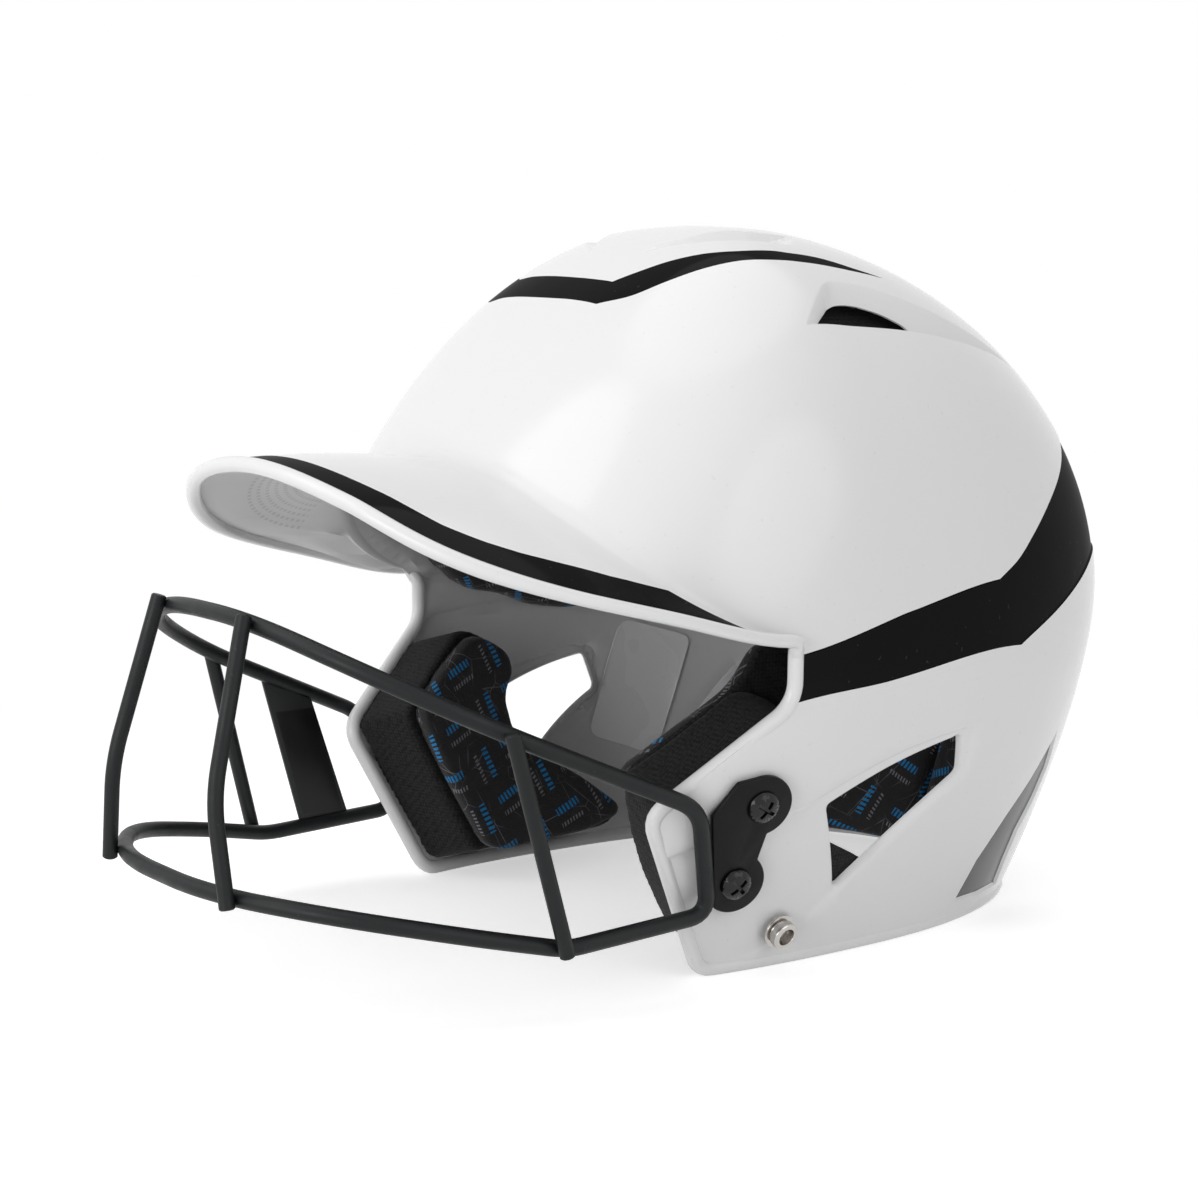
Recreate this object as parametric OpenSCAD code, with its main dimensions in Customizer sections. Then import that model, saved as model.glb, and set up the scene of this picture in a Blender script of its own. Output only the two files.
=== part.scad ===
// Batting helmet with a wire face mask.
// Frame: +Z up, the peak and the mask towards -Y, +X is the wearer's left. Lengths in millimetres.
// The shape is drawn about the front edge of the ear flaps (y = 0) and moved by y_shift at the end.

/* [Shell] */
// greatest half width of the shell
shell_half = 104.3; // [100:0.1:108]
// height of the crown above the flat lower edge
crown_h = 218.7; // [214:0.1:224]
// distance of the widest section behind the flap line
mid_y = 40.6; // [38:0.1:43]
// reach of the rear from the widest section
rear_reach = 142.4; // [138:0.1:146]
// reach of the forehead from the widest section
front_reach = 128.0; // [125:0.1:131]
// level above which the sides close in
side_level = 94.2; // [90:0.1:98]
// level above which the rear closes in
rear_level = 103.3; // [100:0.1:107]
// level above which the forehead closes in
front_level = 53.3; // [50:0.1:56]
// fullness of the sides above their level
side_power = 2.40; // [2.2:0.01:2.6]
// fullness of the rear above its level
rear_power = 1.80; // [1.7:0.01:1.95]
// fullness of the forehead above its level
front_power = 1.61; // [1.5:0.01:1.75]
// how much sides and rear tuck in below their level
low_tuck = 0.028; // [0.024:0.001:0.031]
// squareness of the level sections
plan_power = 2.43; // [2.2:0.01:2.6]
// thickness of the wall
wall = 3.0; // [2.6:0.1:3.4]
// radius of the rounded bead on every free edge
bead_r = 2.3; // [2.0:0.1:2.5]

/* [Brim] */
// half width of the brim's edge
brim_half = 103.3; // [101:0.1:104]
// reach of the brim's edge from its widest place
brim_reach = 126.6; // [120:0.1:130]
// widest place of the brim's edge behind the flap line
brim_back = 11.1; // [9:0.1:13]
// height of the brim's edge at the middle
brim_top = 149.5; // [147:0.1:152]
// drop of the brim's edge from the middle to the sides
brim_drop = 48.4; // [46:0.1:50]
// extra fall of the brim's edge halfway to the sides
brim_sag = 1.6; // [0:0.1:2]
// squareness of the brim's edge in plan
brim_power = 2.6; // [2.3:0.05:2.9]
// height of the crease between brim and forehead at the middle
crease_top = 148.0; // [146:0.1:150]
// drop of that crease from the middle to the sides
crease_drop = 46.5; // [44:0.1:48]
// thickness of the brim
brim_t = 3.2; // [2.8:0.1:3.6]

/* [Ear flap] */
// height of the flap's upper front corner
flap_top_z = 97.0; // [95:0.5:99]
// height of the bend where the flap starts to run forward
flap_bend_z = 83.0; // [81:0.5:85]
// how far the flap's nose stands forward of the flap line
nose_y = 36.3; // [34:0.1:38]
// height of the flap's nose
nose_z = 52.2; // [50:0.1:54]
// how far the flap's toe stands forward of the flap line
toe_y = 12.0; // [10:0.1:14]
// rounding of the flap's corners
flap_round = 6.0; // [4:0.5:8]
// ear opening: front edge behind the flap line, at the top
ear_front = 20.0; // [18:0.5:22]
// ear opening: rear edge behind the flap line
ear_rear = 70.0; // [67:0.5:72]
// ear opening: height of its upper rear corner
ear_top = 65.0; // [63:0.5:67]
// ear opening: height of its lowest corner
ear_low = 24.0; // [22:0.5:26]

/* [Vents] */
// depth of the two side scoops below the outer surface
vent_depth = 5.0; // [4:0.5:6]
// depth of the two grooves on the crown
groove_depth = 1.7; // [1.2:0.1:2]

/* [Mask] */
// radius of the closed loop's wire
loop_r = 2.45; // [2.2:0.05:2.6]
// radius of the four bars
bar_r = 2.25; // [2:0.05:2.4]
// overlap of each weld
weld_bite = 0.12; // [0.05:0.01:0.2]
// how far the bars' ends pass the middle of the rail
bar_over = 1.6; // [1:0.1:2.2]
// front bars: distance from the middle at the top
front_bar_top_x = 25.1; // [23:0.1:27]
// front bars: distance from the middle at the bottom
front_bar_low_x = 35.0; // [33:0.1:37]
// front bars: height of the kink
kink_z = 62.5; // [60:0.1:65]
// front bars: how far the kink stands forward of the flap line
kink_y = 145.1; // [144:0.1:145.5]
// side bars: forward place of the upper weld
side_bar_top_y = 83.0; // [81:0.5:85]
// side bars: forward place of the lower weld
side_bar_low_y = 68.5; // [67.5:0.5:71]
// thickness of the plain plate between the right rails
plate_t = 1.4; // [1:0.1:2]
// width of that plate along the rails
plate_w = 18.0; // [16:0.5:20]

/* [Bracket] */
// thickness of the two bracket plates
bracket_t = 2.0; // [1.6:0.1:2.4]
// distance between the two screws of a side
screw_pitch = 24.8; // [24:0.1:26]
// radius of the round lobes about the screws
lobe_r = 9.4; // [8.8:0.1:9.8]
// gap between bracket and shell at the middle
bracket_gap = 0.25; // [0.2:0.05:0.4]
// radius of a screw's shank
screw_r = 2.0; // [1.8:0.05:2.2]
// radius of a screw's head
head_r = 4.9; // [4.6:0.1:5.2]
// height of a screw's head
head_h = 2.7; // [2.4:0.1:3]
// clearance about a shank, on the radius
hole_clear = 0.35; // [0.25:0.05:0.5]
// radius of a backing nut's flange
nut_r = 6.0; // [5.5:0.1:6.5]
// thickness of a backing nut
nut_t = 1.6; // [1.2:0.1:2]

/* [Snap studs] */
// place of the studs behind the flap line
snap_y = 11.2; // [10:0.1:12.5]
// height of the studs
snap_z = 12.4; // [11.6:0.1:13]
// radius of a stud's flange
snap_flange_r = 5.3; // [5:0.1:5.6]
// radius of a stud's post
snap_post_r = 4.3; // [4:0.1:4.5]
// height of a stud above its flange
snap_h = 4.4; // [4:0.1:4.8]
// radius of a stud's shank
snap_shank_r = 1.8; // [1.6:0.05:2]
// radius of the washer behind a stud
snap_washer_r = 4.2; // [3.8:0.1:4.5]

/* [Pads] */
// clearance between a pad and the shell
pad_gap = 0.5; // [0.4:0.05:0.7]
// thickness of the foam in the ear flaps
foam_t = 23.5; // [21:0.5:25]
// thickness of the covered cushions on that foam
cushion_t = 6.0; // [5:0.5:7]
// thickness of the other pads
pad_t = 11.0; // [9:0.5:12]
// thickness of the crown pad at its middle
crown_pad_t = 8.5; // [7:0.5:10]
// how far the crown pad reaches down from the top of the shell
crown_pad_drop = 38; // [34:0.5:40]
// thickness of the plain label inside the shell
label_t = 0.5; // [0.4:0.05:0.6]

/* [Hidden] */
// weld depth of plates to wire
plate_bite = 0.1;
// facets of a round wire
wire_sides = 8;
// radius of a clearance hole in the shell
bore_r = screw_r + hole_clear;
// pan left under each scoop
pan_t = 2.6;
// lower level of the crown pad
crown_pad_z = crown_h - crown_pad_drop;

function mix(a, b, t) = a * (1 - t) + b * t;
function unit(v) = v / norm(v);
function bend(a, p, b, d, n) =
    let(s = p + unit(a - p) * d, e = p + unit(b - p) * d)
    [for (i = [0 : n]) mix(mix(s, p, i / n), mix(p, e, i / n), i / n)];

// Shell surface: half width, rear reach and front reach of the level section at z, w inside the outer face
function bulge(t, p) = pow(max(0, 1 - pow(min(1, max(0, t)), p)), 1 / p);
function reach(z, e, z0, p, tuck, w) =
    z > z0 ? (e - w) * bulge((z - z0) / (crown_h - w - z0), p)
           : e - w - tuck * pow(z0 - z, 1.5);
function half_at(z, w) = reach(z, shell_half, side_level, side_power, low_tuck, w);
function rear_at(z, w) = reach(z, rear_reach, rear_level, rear_power, low_tuck, w);
function front_at(z, w) = reach(z, front_reach, front_level, front_power, 0, w);
function arc(t) = pow(max(0, 1 - pow(min(1, abs(t)), plan_power)), 1 / plan_power);
function side_x(y, z, w) =
    half_at(z, w) * arc((y - mid_y) / (y > mid_y ? rear_at(z, w) : front_at(z, w)));
function front_y(x, z, w) = mid_y - front_at(z, w) * arc(x / half_at(z, w));
function rear_y(x, z, w) = mid_y + rear_at(z, w) * arc(x / half_at(z, w));
function power(v, e) = sign(v) * pow(abs(v), e);
function ring_pt(z, a, w) =
    [half_at(z, w) * power(cos(a), 2 / plan_power),
     mid_y + (sin(a) > 0 ? rear_at(z, w) : front_at(z, w)) * power(sin(a), 2 / plan_power),
     z];

// The whole part is centred on the length between the rear of the shell and the front of the mask
rail_front = 145.3;
y_shift = -(mid_y + rear_reach - rail_front - loop_r) / 2;
module seat() { translate([0, y_shift, 0]) children(); }

// Solid of stacked level sections from z_low to the crown
module dome(w, z_low, m, n) {
    top = crown_h - w;
    levels = [for (i = [0 : m - 1]) top - (top - z_low) * pow(1 - i / m, 1.6)];
    pts = concat([for (z = levels) for (j = [0 : n - 1]) ring_pt(z, 360 * (j + 0.5) / n, w)],
                 [[0, mid_y, top]]);
    faces = concat(
        [[for (j = [0 : n - 1]) j]],
        [for (i = [0 : m - 2]) for (j = [0 : n - 1]) let(k = (j + 1) % n)
            [i * n + j, (i + 1) * n + j, (i + 1) * n + k]],
        [for (i = [0 : m - 2]) for (j = [0 : n - 1]) let(k = (j + 1) % n)
            [i * n + j, (i + 1) * n + k, i * n + k]],
        [for (j = [0 : n - 1]) [(m - 1) * n + j, m * n, (m - 1) * n + (j + 1) % n]]);
    polyhedron(points = pts, faces = faces, convexity = 6);
}

// Closed wire of radius r along the loop p, turned so that its sides face away from c
module closed_wire(p, r, c, n) {
    k = len(p);
    pts = [for (i = [0 : k - 1]) let(
        t = unit(p[(i + 1) % k] - p[(i + k - 1) % k]),
        v = p[i] - c,
        u = unit(v - t * (v * t)),
        b = cross(t, u))
        for (j = [0 : n - 1]) p[i] + r * (cos(360 * (j + 0.5) / n) * u + sin(360 * (j + 0.5) / n) * b)];
    faces = concat(
        [for (i = [0 : k - 1]) for (j = [0 : n - 1]) let(a = (i + 1) % k, q = (j + 1) % n)
            [i * n + j, a * n + q, i * n + q]],
        [for (i = [0 : k - 1]) for (j = [0 : n - 1]) let(a = (i + 1) % k, q = (j + 1) % n)
            [i * n + j, a * n + j, a * n + q]]);
    polyhedron(points = pts, faces = faces, convexity = 8);
}

// Front edge of a flap in side view, from the brim down to the lower edge
bead_z = bead_r - 0.3;
flap_corner = [[2.4, flap_top_z + 6], [2.4, flap_bend_z], [-nose_y, nose_z], [-toe_y, bead_z], [20, bead_z]];
flap_line = concat(
    [[2.4, flap_top_z]],
    bend(flap_corner[0], flap_corner[1], flap_corner[2], flap_round, 4),
    bend(flap_corner[1], flap_corner[2], flap_corner[3], flap_round, 5),
    bend(flap_corner[2], flap_corner[3], flap_corner[4], flap_round - 1, 4));

// Edge of the brim and the crease where the brim leaves the forehead, by angle from the middle
function brim_edge(a) =
    let(t = pow(abs(sin(a)), 2 / brim_power))
    [sign(a) * brim_half * t,
     brim_back - brim_reach * pow(cos(a), 2 / brim_power),
     brim_top - brim_drop * (0.845 * t * t + 0.155 * pow(t, 50))
         - brim_sag * pow(max(0, 1 - pow((t - 0.68) / 0.25, 2)), 2)];
function crease_z(t) = crease_top - crease_drop * (0.75 * t * t + 0.25 * pow(t, 6));
function crease(a, w) =
    let(t = pow(abs(sin(a)), 2 / brim_power), x = 100 * t, z = crease_z(t))
    [sign(a) * x, front_y(x, z, w), z];
brim_end = 87.6;

module brim(n, m) {
    a = [for (i = [0 : n]) let(s = 2 * i / n - 1) brim_end * (0.55 * s + 0.45 * s * s * s)];
    k = m + 1;
    upper = [for (q = a) for (j = [0 : m]) mix(crease(q, 1.9), brim_edge(q), j / m) + [0, 0, brim_t / 2]];
    lower = [for (q = a) for (j = [0 : m]) mix(crease(q, 1.9), brim_edge(q), j / m) - [0, 0, brim_t / 2]];
    h = len(upper);
    cells = [for (i = [0 : n - 1]) for (j = [0 : m - 1]) i * k + j];
    faces = concat(
        [for (c = cells) [c, c + k, c + k + 1]], [for (c = cells) [c, c + k + 1, c + 1]],
        [for (c = cells) [h + c, h + c + 1, h + c + k + 1]],
        [for (c = cells) [h + c, h + c + k + 1, h + c + k]],
        [for (i = [0 : n - 1]) let(c = i * k) [c, h + c, h + c + k]],
        [for (i = [0 : n - 1]) let(c = i * k) [c, h + c + k, c + k]],
        [for (i = [0 : n - 1]) let(c = i * k + m) [c, h + c + k, h + c]],
        [for (i = [0 : n - 1]) let(c = i * k + m) [c, c + k, h + c + k]],
        [for (j = [0 : m - 1]) [j, h + j + 1, h + j]], [for (j = [0 : m - 1]) [j, j + 1, h + j + 1]],
        [for (j = [0 : m - 1]) let(c = n * k + j) [c, h + c, h + c + 1]],
        [for (j = [0 : m - 1]) let(c = n * k + j) [c, h + c + 1, c + 1]]);
    polyhedron(points = concat(upper, lower), faces = faces, convexity = 6);
}

// Rounded bead round the brim, both flaps and the lower edge, as one closed loop
module bead() {
    left = [for (p = flap_line) [side_x(p[0], p[1], wall / 2), p[0], p[1]]];
    right = [for (i = [len(left) - 1 : -1 : 0]) [-left[i][0], left[i][1], left[i][2]]];
    low = [for (i = [0 : 26]) ring_pt(bead_z, -14 + 208 * i / 26, wall / 2)];
    edge = [for (i = [0 : 20]) let(s = i / 10 - 1) brim_edge(brim_end * (0.6 * s + 0.4 * s * s * s))];
    closed_wire(concat(edge, left, low, right), bead_r, [0, mid_y, 95], 8);
}

// Prism along X of an outline given in side view (y, z)
module across(outline, x0, x1) {
    translate([x0, 0, 0]) rotate([90, 0, 90]) linear_extrude(x1 - x0) polygon(outline);
}

module face_cut() {
    across(concat([[-250, -20], [-toe_y, -20]],
                  [for (i = [len(flap_line) - 1 : -1 : 0]) flap_line[i]],
                  [[-1, 100], [-28, 115], [-36.7, 123.5], [-47.5, 132], [-50.5, 144], [-52, crease_top - 1.5],
                   [-250, crease_top - 1.5]]), -150, 150);
}

// Ear opening in side view
ear_corner = [[ear_front, 50], [ear_rear - 2, ear_top], [ear_rear + 1, ear_top - 12.5],
              [ear_front + 10.5, ear_low]];
ear_outline = [for (i = [0 : 3])
    each bend(ear_corner[(i + 3) % 4], ear_corner[i], ear_corner[(i + 1) % 4], 3.5, 3)];

// Side scoops: outlines looked at along a line leaning 38 degrees from the vertical
scoop = [[-73.5, 45], [-65, 34], [-56, 25.5], [-54, 46], [-53, 68], [-52.8, 90], [-55.5, 122],
         [-60, 101], [-63.8, 84.5], [-68.5, 68], [-72, 55]];
scoop_hole = [[-63.5, 38.5], [-57, 29.8], [-55.3, 46], [-54.6, 64]];
module leaning(outline, z0, z1, grow) {
    rotate([0, 38, 0]) translate([0, 0, z0]) linear_extrude(z1 - z0)
        polygon([for (p = outline) let(c = [-61, 62]) p + (grow == 0 ? [0, 0] : unit(p - c) * grow)]);
}
groove = [[14, 12.5], [19.5, 17], [29.8, 23], [38, 31.3], [43, 41.3], [45.1, 46.7], [35.7, 55.2],
          [33.2, 46], [27.9, 34.5], [20.5, 22]];

module both() { children(); mirror([1, 0, 0]) children(); }

module shell_blank() {
    resize([0, 0, crown_h]) difference() {
        union() {
            difference() {
                dome(0, 0, 18, 52);
                dome(wall, -6, 18, 52);
                face_cut();
            }
            both() intersection() {
                difference() {
                    dome(wall - 0.6, 150, 12, 52);
                    dome(vent_depth + pan_t, 140, 12, 52);
                }
                leaning(scoop, 80, 240, pan_t);
            }
            brim(36, 3);
            bead();
        }
        both() difference() {
            leaning(scoop, 80, 260, 0);
            dome(vent_depth, 140, 12, 52);
        }
        both() leaning(scoop_hole, 80, 260, 0);
        both() difference() {
            translate([0, 0, 180]) linear_extrude(60) polygon(groove);
            dome(groove_depth, 140, 12, 52);
        }
        across(ear_outline, -130, 130);
        translate([-200, -250, -20]) cube([400, 500, 20]);
    }
}

// Local frame of a bracket: u forward, v up and n out of the shell, at the middle between its screws
bracket_mid = [side_x(-7.3, 42.6, 0), -7.3, 42.6];
bracket_v = unit([0.302, 0.153, 0.941]);
bracket_n = unit(cross(bracket_v, cross([0.941, -0.19, -0.28], bracket_v)));
bracket_u = cross(bracket_n, bracket_v);
function on_bracket(u, v, n) = bracket_mid + u * bracket_u + v * bracket_v + n * bracket_n;
module bracket_frame() {
    multmatrix([[bracket_u[0], bracket_v[0], bracket_n[0], bracket_mid[0]],
                [bracket_u[1], bracket_v[1], bracket_n[1], bracket_mid[1]],
                [bracket_u[2], bracket_v[2], bracket_n[2], bracket_mid[2]],
                [0, 0, 0, 1]]) children();
}

// Local frame of a snap stud: its Z axis leaves the shell
snap_at = [side_x(snap_y, snap_z, 0), snap_y, snap_z];
snap_n = unit([1, 0.03, -1.5 * low_tuck * sqrt(side_level - snap_z)]);
module snap_frame() {
    translate(snap_at) rotate([0, acos(snap_n[2]), atan2(snap_n[1], snap_n[0])]) children();
}

module shell() {
    color("white") seat() difference() {
        shell_blank();
        both() bracket_frame() for (s = [-1, 1])
            translate([0, s * screw_pitch / 2, -12]) cylinder(r = bore_r, h = 24, $fn = 48);
        both() snap_frame() translate([0, 0, -10]) cylinder(r = snap_shank_r + 0.3, h = 20, $fn = 48);
    }
}

// Mask loop: bends of the left half, from the middle of the upper rail to the middle of the lower rail
end_high = on_bracket(18.6, 9.6, 2.7);
end_low = on_bracket(6.2, -22.2, 3.0);
top_a = [24, -129.8, 109.3];
top_b = [62, -117, 99];
top_c = [shell_half - 21.8, -88, 83];
low_d = [shell_half - 18.9, -66.5, 20.0];
low_c = [shell_half - 24, -90, 25.5];
low_b = [65, -125, 33.5];
low_a = [27, -rail_front, 35.5];
function flip(p) = [-p[0], p[1], p[2]];
half_loop = concat(
    bend(flip(top_a), top_a, top_b, 20, 6),
    bend(top_a, top_b, top_c, 19, 6),
    bend(top_b, top_c, end_high, 18, 6),
    bend(top_c, end_high, end_low, 7, 5),
    bend(end_high, end_low, low_d, 7, 5),
    bend(end_low, low_d, low_c, 5, 3),
    bend(low_d, low_c, low_b, 13, 5),
    bend(low_c, low_b, low_a, 19, 6),
    bend(low_b, low_a, flip(low_a), 21, 6));
loop_path = concat(half_loop, [for (i = [len(half_loop) - 1 : -1 : 0]) flip(half_loop[i])]);
// Upper rail, lower rail: points of the left half as tables by x (front) and by y (sides)
up_run = [for (i = [0 : 21]) half_loop[i]];
low_run = [for (i = [27 : len(half_loop) - 1]) half_loop[i]];
function by_x(run, x) = [x, lookup(x, [for (p = run) [p[0], p[1]]]), lookup(x, [for (p = run) [p[0], p[2]]])];
function by_y(run, y) = [lookup(y, [for (p = run) [p[1], p[0]]]), y, lookup(y, [for (p = run) [p[1], p[2]]])];

module mask_loop() {
    color("dimgray") seat() closed_wire(loop_path, loop_r, [0, -40, 65], wire_sides);
}

// Round rod between two points
module rod(a, b, r) {
    d = b - a;
    translate(a) rotate([0, acos(d[2] / norm(d)), atan2(d[1], d[0])]) cylinder(r = r, h = norm(d), $fn = 40);
}

// Middle of a bar at its weld: beside the rail point p with direction t, for a bar running along d
function beside(p, t, d, out) =
    let(c = unit(cross(t, d)), n = c * out > 0 ? c : -c)
    p + n * (loop_r + bar_r - weld_bite);
front_top = by_x(up_run, front_bar_top_x);
front_low = by_x([for (p = low_run) if (p[1] < -100) p], front_bar_low_x);
kink = [31.5, -kink_y, kink_z];
front_out = [0.2, -1, 0];
// swelling of a front bar at its bend
knuckle = 1.06;
bar_top = beside(front_top, by_x(up_run, front_bar_top_x + 2) - front_top, kink - front_top, front_out);
bar_low = beside(front_low, by_x([for (p = low_run) if (p[1] < -100) p], front_bar_low_x + 2) - front_low,
                 front_low - kink, front_out);
module front_bar() {
    rod(kink, bar_top + unit(bar_top - kink) * bar_over, bar_r);
    rod(bar_low + unit(bar_low - kink) * bar_over, kink, bar_r);
    translate(kink) sphere(r = bar_r * knuckle, $fn = 40);
}
module front_bar_left() { color("dimgray") seat() front_bar(); }
module front_bar_right() { color("dimgray") seat() mirror([1, 0, 0]) front_bar(); }

side_top = by_y(up_run, -side_bar_top_y);
side_low = by_y(low_run, -side_bar_low_y);
side_dir = side_top - side_low;
side_bar_a = beside(side_top, by_y(up_run, -side_bar_top_y + 2) - side_top, side_dir, [1, 0, 0]);
side_bar_b = beside(side_low, by_y(low_run, -side_bar_low_y - 2) - side_low, side_dir, [1, 0, 0]);
module side_bar() {
    u = unit(side_bar_a - side_bar_b);
    rod(side_bar_b - u * bar_over, side_bar_a + u * bar_over, bar_r);
}
module side_bar_left() { color("dimgray") seat() side_bar(); }
module side_bar_right() { color("dimgray") seat() mirror([1, 0, 0]) side_bar(); }

// Plain plate between the rails of the wearer's right side
plate_high_y = [-66, -66 + plate_w];
plate_low_y = [-54, -54 + plate_w];
module label_plate() {
    a = by_y(up_run, (plate_high_y[0] + plate_high_y[1]) / 2);
    b = by_y(low_run, (plate_low_y[0] + plate_low_y[1]) / 2);
    lean = atan2(a[0] - b[0], a[2] - b[2]);
    reach_in = loop_r - plate_bite;
    s = 1 / cos(lean);
    outline = [
        [plate_low_y[0], (by_y(low_run, plate_low_y[0])[2] - b[2] + reach_in) * s],
        [plate_low_y[1], (by_y(low_run, plate_low_y[1])[2] - b[2] + reach_in) * s],
        [plate_high_y[1], (by_y(up_run, plate_high_y[1])[2] - b[2] - reach_in) * s],
        [plate_high_y[0], (by_y(up_run, plate_high_y[0])[2] - b[2] - reach_in) * s]];
    color("black") seat() mirror([1, 0, 0])
        translate([b[0], 0, b[2]]) rotate([0, lean, 0]) across(outline, -plate_t / 2, plate_t / 2);
}

// Bracket: two round lobes and a web that reaches forward to the end of the loop
module bracket() {
    edge_high = [18.6, 9.6];
    edge_low = [6.2, -22.2];
    side = unit([edge_high[1] - edge_low[1], -(edge_high[0] - edge_low[0])]) * (loop_r - plate_bite);
    a = mix(edge_high, edge_low, 0.10) - side;
    b = mix(edge_high, edge_low, 0.93) - side;
    above = mix(edge_high, edge_low, -0.3) - side;
    below = mix(edge_high, edge_low, 1.4) - side;
    h = screw_pitch / 2;
    bracket_frame() translate([0, 0, bracket_gap]) linear_extrude(bracket_t) difference() {
        union() {
            for (s = [-1, 1]) translate([0, s * h]) circle(r = lobe_r, $fn = 64);
            polygon([a, [10.3, 18.4], [lobe_r * cos(62), h + lobe_r * sin(62)], [0, h], [-4.6, h - 5],
                     [-4.6, 5 - h], [0, -h], [lobe_r * cos(-80), -h + lobe_r * sin(-80)], b]);
        }
        polygon([above, below, below + side * 4, above + side * 4]);
        for (s = [-1, 1]) translate([0, s * h]) circle(r = screw_r + hole_clear / 2, $fn = 48);
    }
}
module bracket_left() { color("black") seat() bracket(); }
module bracket_right() { color("black") seat() mirror([1, 0, 0]) bracket(); }

// Pan-head screw with a cross recess, on a side's frame at v
nut_face = -wall - 0.9;
module screw(v, turn) {
    z0 = bracket_gap + bracket_t;
    low = nut_face - nut_t;
    bracket_frame() translate([0, v, 0]) difference() {
        rotate_extrude($fn = 64) polygon([
            [0, low], [screw_r, low], [screw_r, z0], [head_r - 0.2, z0], [head_r, z0 + 0.5],
            [head_r - 0.5, z0 + 1.3], [head_r - 1.6, z0 + 2.1], [head_r - 3.2, z0 + head_h - 0.12],
            [0, z0 + head_h]]);
        rotate([0, 0, turn]) translate([-2.9, -0.55, z0 + 0.9]) cube([5.8, 1.1, 4]);
        rotate([0, 0, turn]) translate([-0.55, -2.9, z0 + 0.9]) cube([1.1, 5.8, 4]);
    }
}
module upper_screw_left() { color("black") seat() screw(screw_pitch / 2, 20); }
module lower_screw_left() { color("black") seat() screw(-screw_pitch / 2, 35); }
module upper_screw_right() { color("black") seat() mirror([1, 0, 0]) screw(screw_pitch / 2, 10); }
module lower_screw_right() { color("black") seat() mirror([1, 0, 0]) screw(-screw_pitch / 2, 50); }

// Backing nuts inside the shell, one behind each screw
module backing_nuts() {
    bracket_frame() for (s = [-1, 1]) translate([0, s * screw_pitch / 2, nut_face - nut_t]) difference() {
        cylinder(r = nut_r, h = nut_t, $fn = 64);
        translate([0, 0, -1]) cylinder(r = screw_r + 0.02, h = nut_t + 2, $fn = 48);
    }
}
module backing_nuts_left() { color("silver") seat() backing_nuts(); }
module backing_nuts_right() { color("silver") seat() mirror([1, 0, 0]) backing_nuts(); }

// Snap stud: flange, waisted hollow post and a shank through the shell
stud_gap = 0.3;
shank_low = -wall - 1.3;
module snap_stud() {
    snap_frame() difference() {
        union() {
            translate([0, 0, stud_gap]) cylinder(r = snap_flange_r, h = 1.0, $fn = 64);
            translate([0, 0, stud_gap + 1.0]) cylinder(r = snap_post_r - 0.7, h = 0.8, $fn = 64);
            translate([0, 0, stud_gap + 1.8]) cylinder(r = snap_post_r, h = snap_h - 1.8 - 0.4, $fn = 64);
            translate([0, 0, stud_gap + snap_h - 0.4])
                cylinder(r1 = snap_post_r, r2 = snap_post_r - 0.5, h = 0.4, $fn = 64);
            translate([0, 0, shank_low]) cylinder(r = snap_shank_r, h = 1 - shank_low, $fn = 48);
        }
        translate([0, 0, stud_gap + 1.0]) cylinder(r = snap_post_r - 1.6, h = snap_h, $fn = 48);
    }
}
module snap_stud_left() { color("silver") seat() snap_stud(); }
module snap_stud_right() { color("silver") seat() mirror([1, 0, 0]) snap_stud(); }
module snap_washer() {
    snap_frame() translate([0, 0, shank_low]) difference() {
        cylinder(r = snap_washer_r, h = 0.8, $fn = 64);
        translate([0, 0, -1]) cylinder(r = snap_shank_r + 0.02, h = 3, $fn = 48);
    }
}
module snap_washer_left() { color("silver") seat() snap_washer(); }
module snap_washer_right() { color("silver") seat() mirror([1, 0, 0]) snap_washer(); }

// Pad on a wall of the shell. It runs from the outline base on the wall to the outline on its face,
// both star shaped about c. w0 is the depth of its back under the outer face, t its thickness and
// lip its thickness at the edge
function wall_pt(face, p, w) =
    face == "side" ? [side_x(p[0], p[1], w), p[0], p[1]] :
    face == "front" ? [p[0], front_y(p[0], p[1], w), p[1]] :
                      [p[0], rear_y(p[0], p[1], w), p[1]];
function crown_of(f, t, lip) = lip + (t - lip) * pow(max(0, 1 - pow(f, 5)), 0.5);
module pad(face, base, outline, c, w0, t, lip, rings) {
    n = len(outline);
    frac = [for (i = [1 : rings]) 1 - pow(1 - i / rings, 1.6)];
    front = concat([wall_pt(face, c, w0 + t)],
        [for (f = frac) let(h = crown_of(f, t, lip)) for (i = [0 : n - 1])
            wall_pt(face, c + (mix(base[i], outline[i], h / t) - c) * f, w0 + h)]);
    h = len(front);
    back = concat([wall_pt(face, c, w0)],
        [for (f = frac) for (p = base) wall_pt(face, c + (p - c) * (f * 0.985), w0)]);
    ring = [for (i = [0 : rings - 2]) for (j = [0 : n - 1]) [1 + i * n + j, 1 + i * n + (j + 1) % n]];
    faces = concat(
        [for (j = [0 : n - 1]) [0, 1 + j, 1 + (j + 1) % n]],
        [for (r = ring) [r[0], r[0] + n, r[1] + n]],
        [for (r = ring) [r[0], r[1] + n, r[1]]],
        [for (j = [0 : n - 1]) [h, h + 1 + (j + 1) % n, h + 1 + j]],
        [for (r = ring) [h + r[0], h + r[1] + n, h + r[0] + n]],
        [for (r = ring) [h + r[0], h + r[1], h + r[1] + n]],
        [for (j = [0 : n - 1]) let(a = 1 + (rings - 1) * n + j, b = 1 + (rings - 1) * n + (j + 1) % n)
            [a, h + a, h + b]],
        [for (j = [0 : n - 1]) let(a = 1 + (rings - 1) * n + j, b = 1 + (rings - 1) * n + (j + 1) % n)
            [a, h + b, b]]);
    polyhedron(points = concat(front, back), faces = faces, convexity = 6);
}
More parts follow.
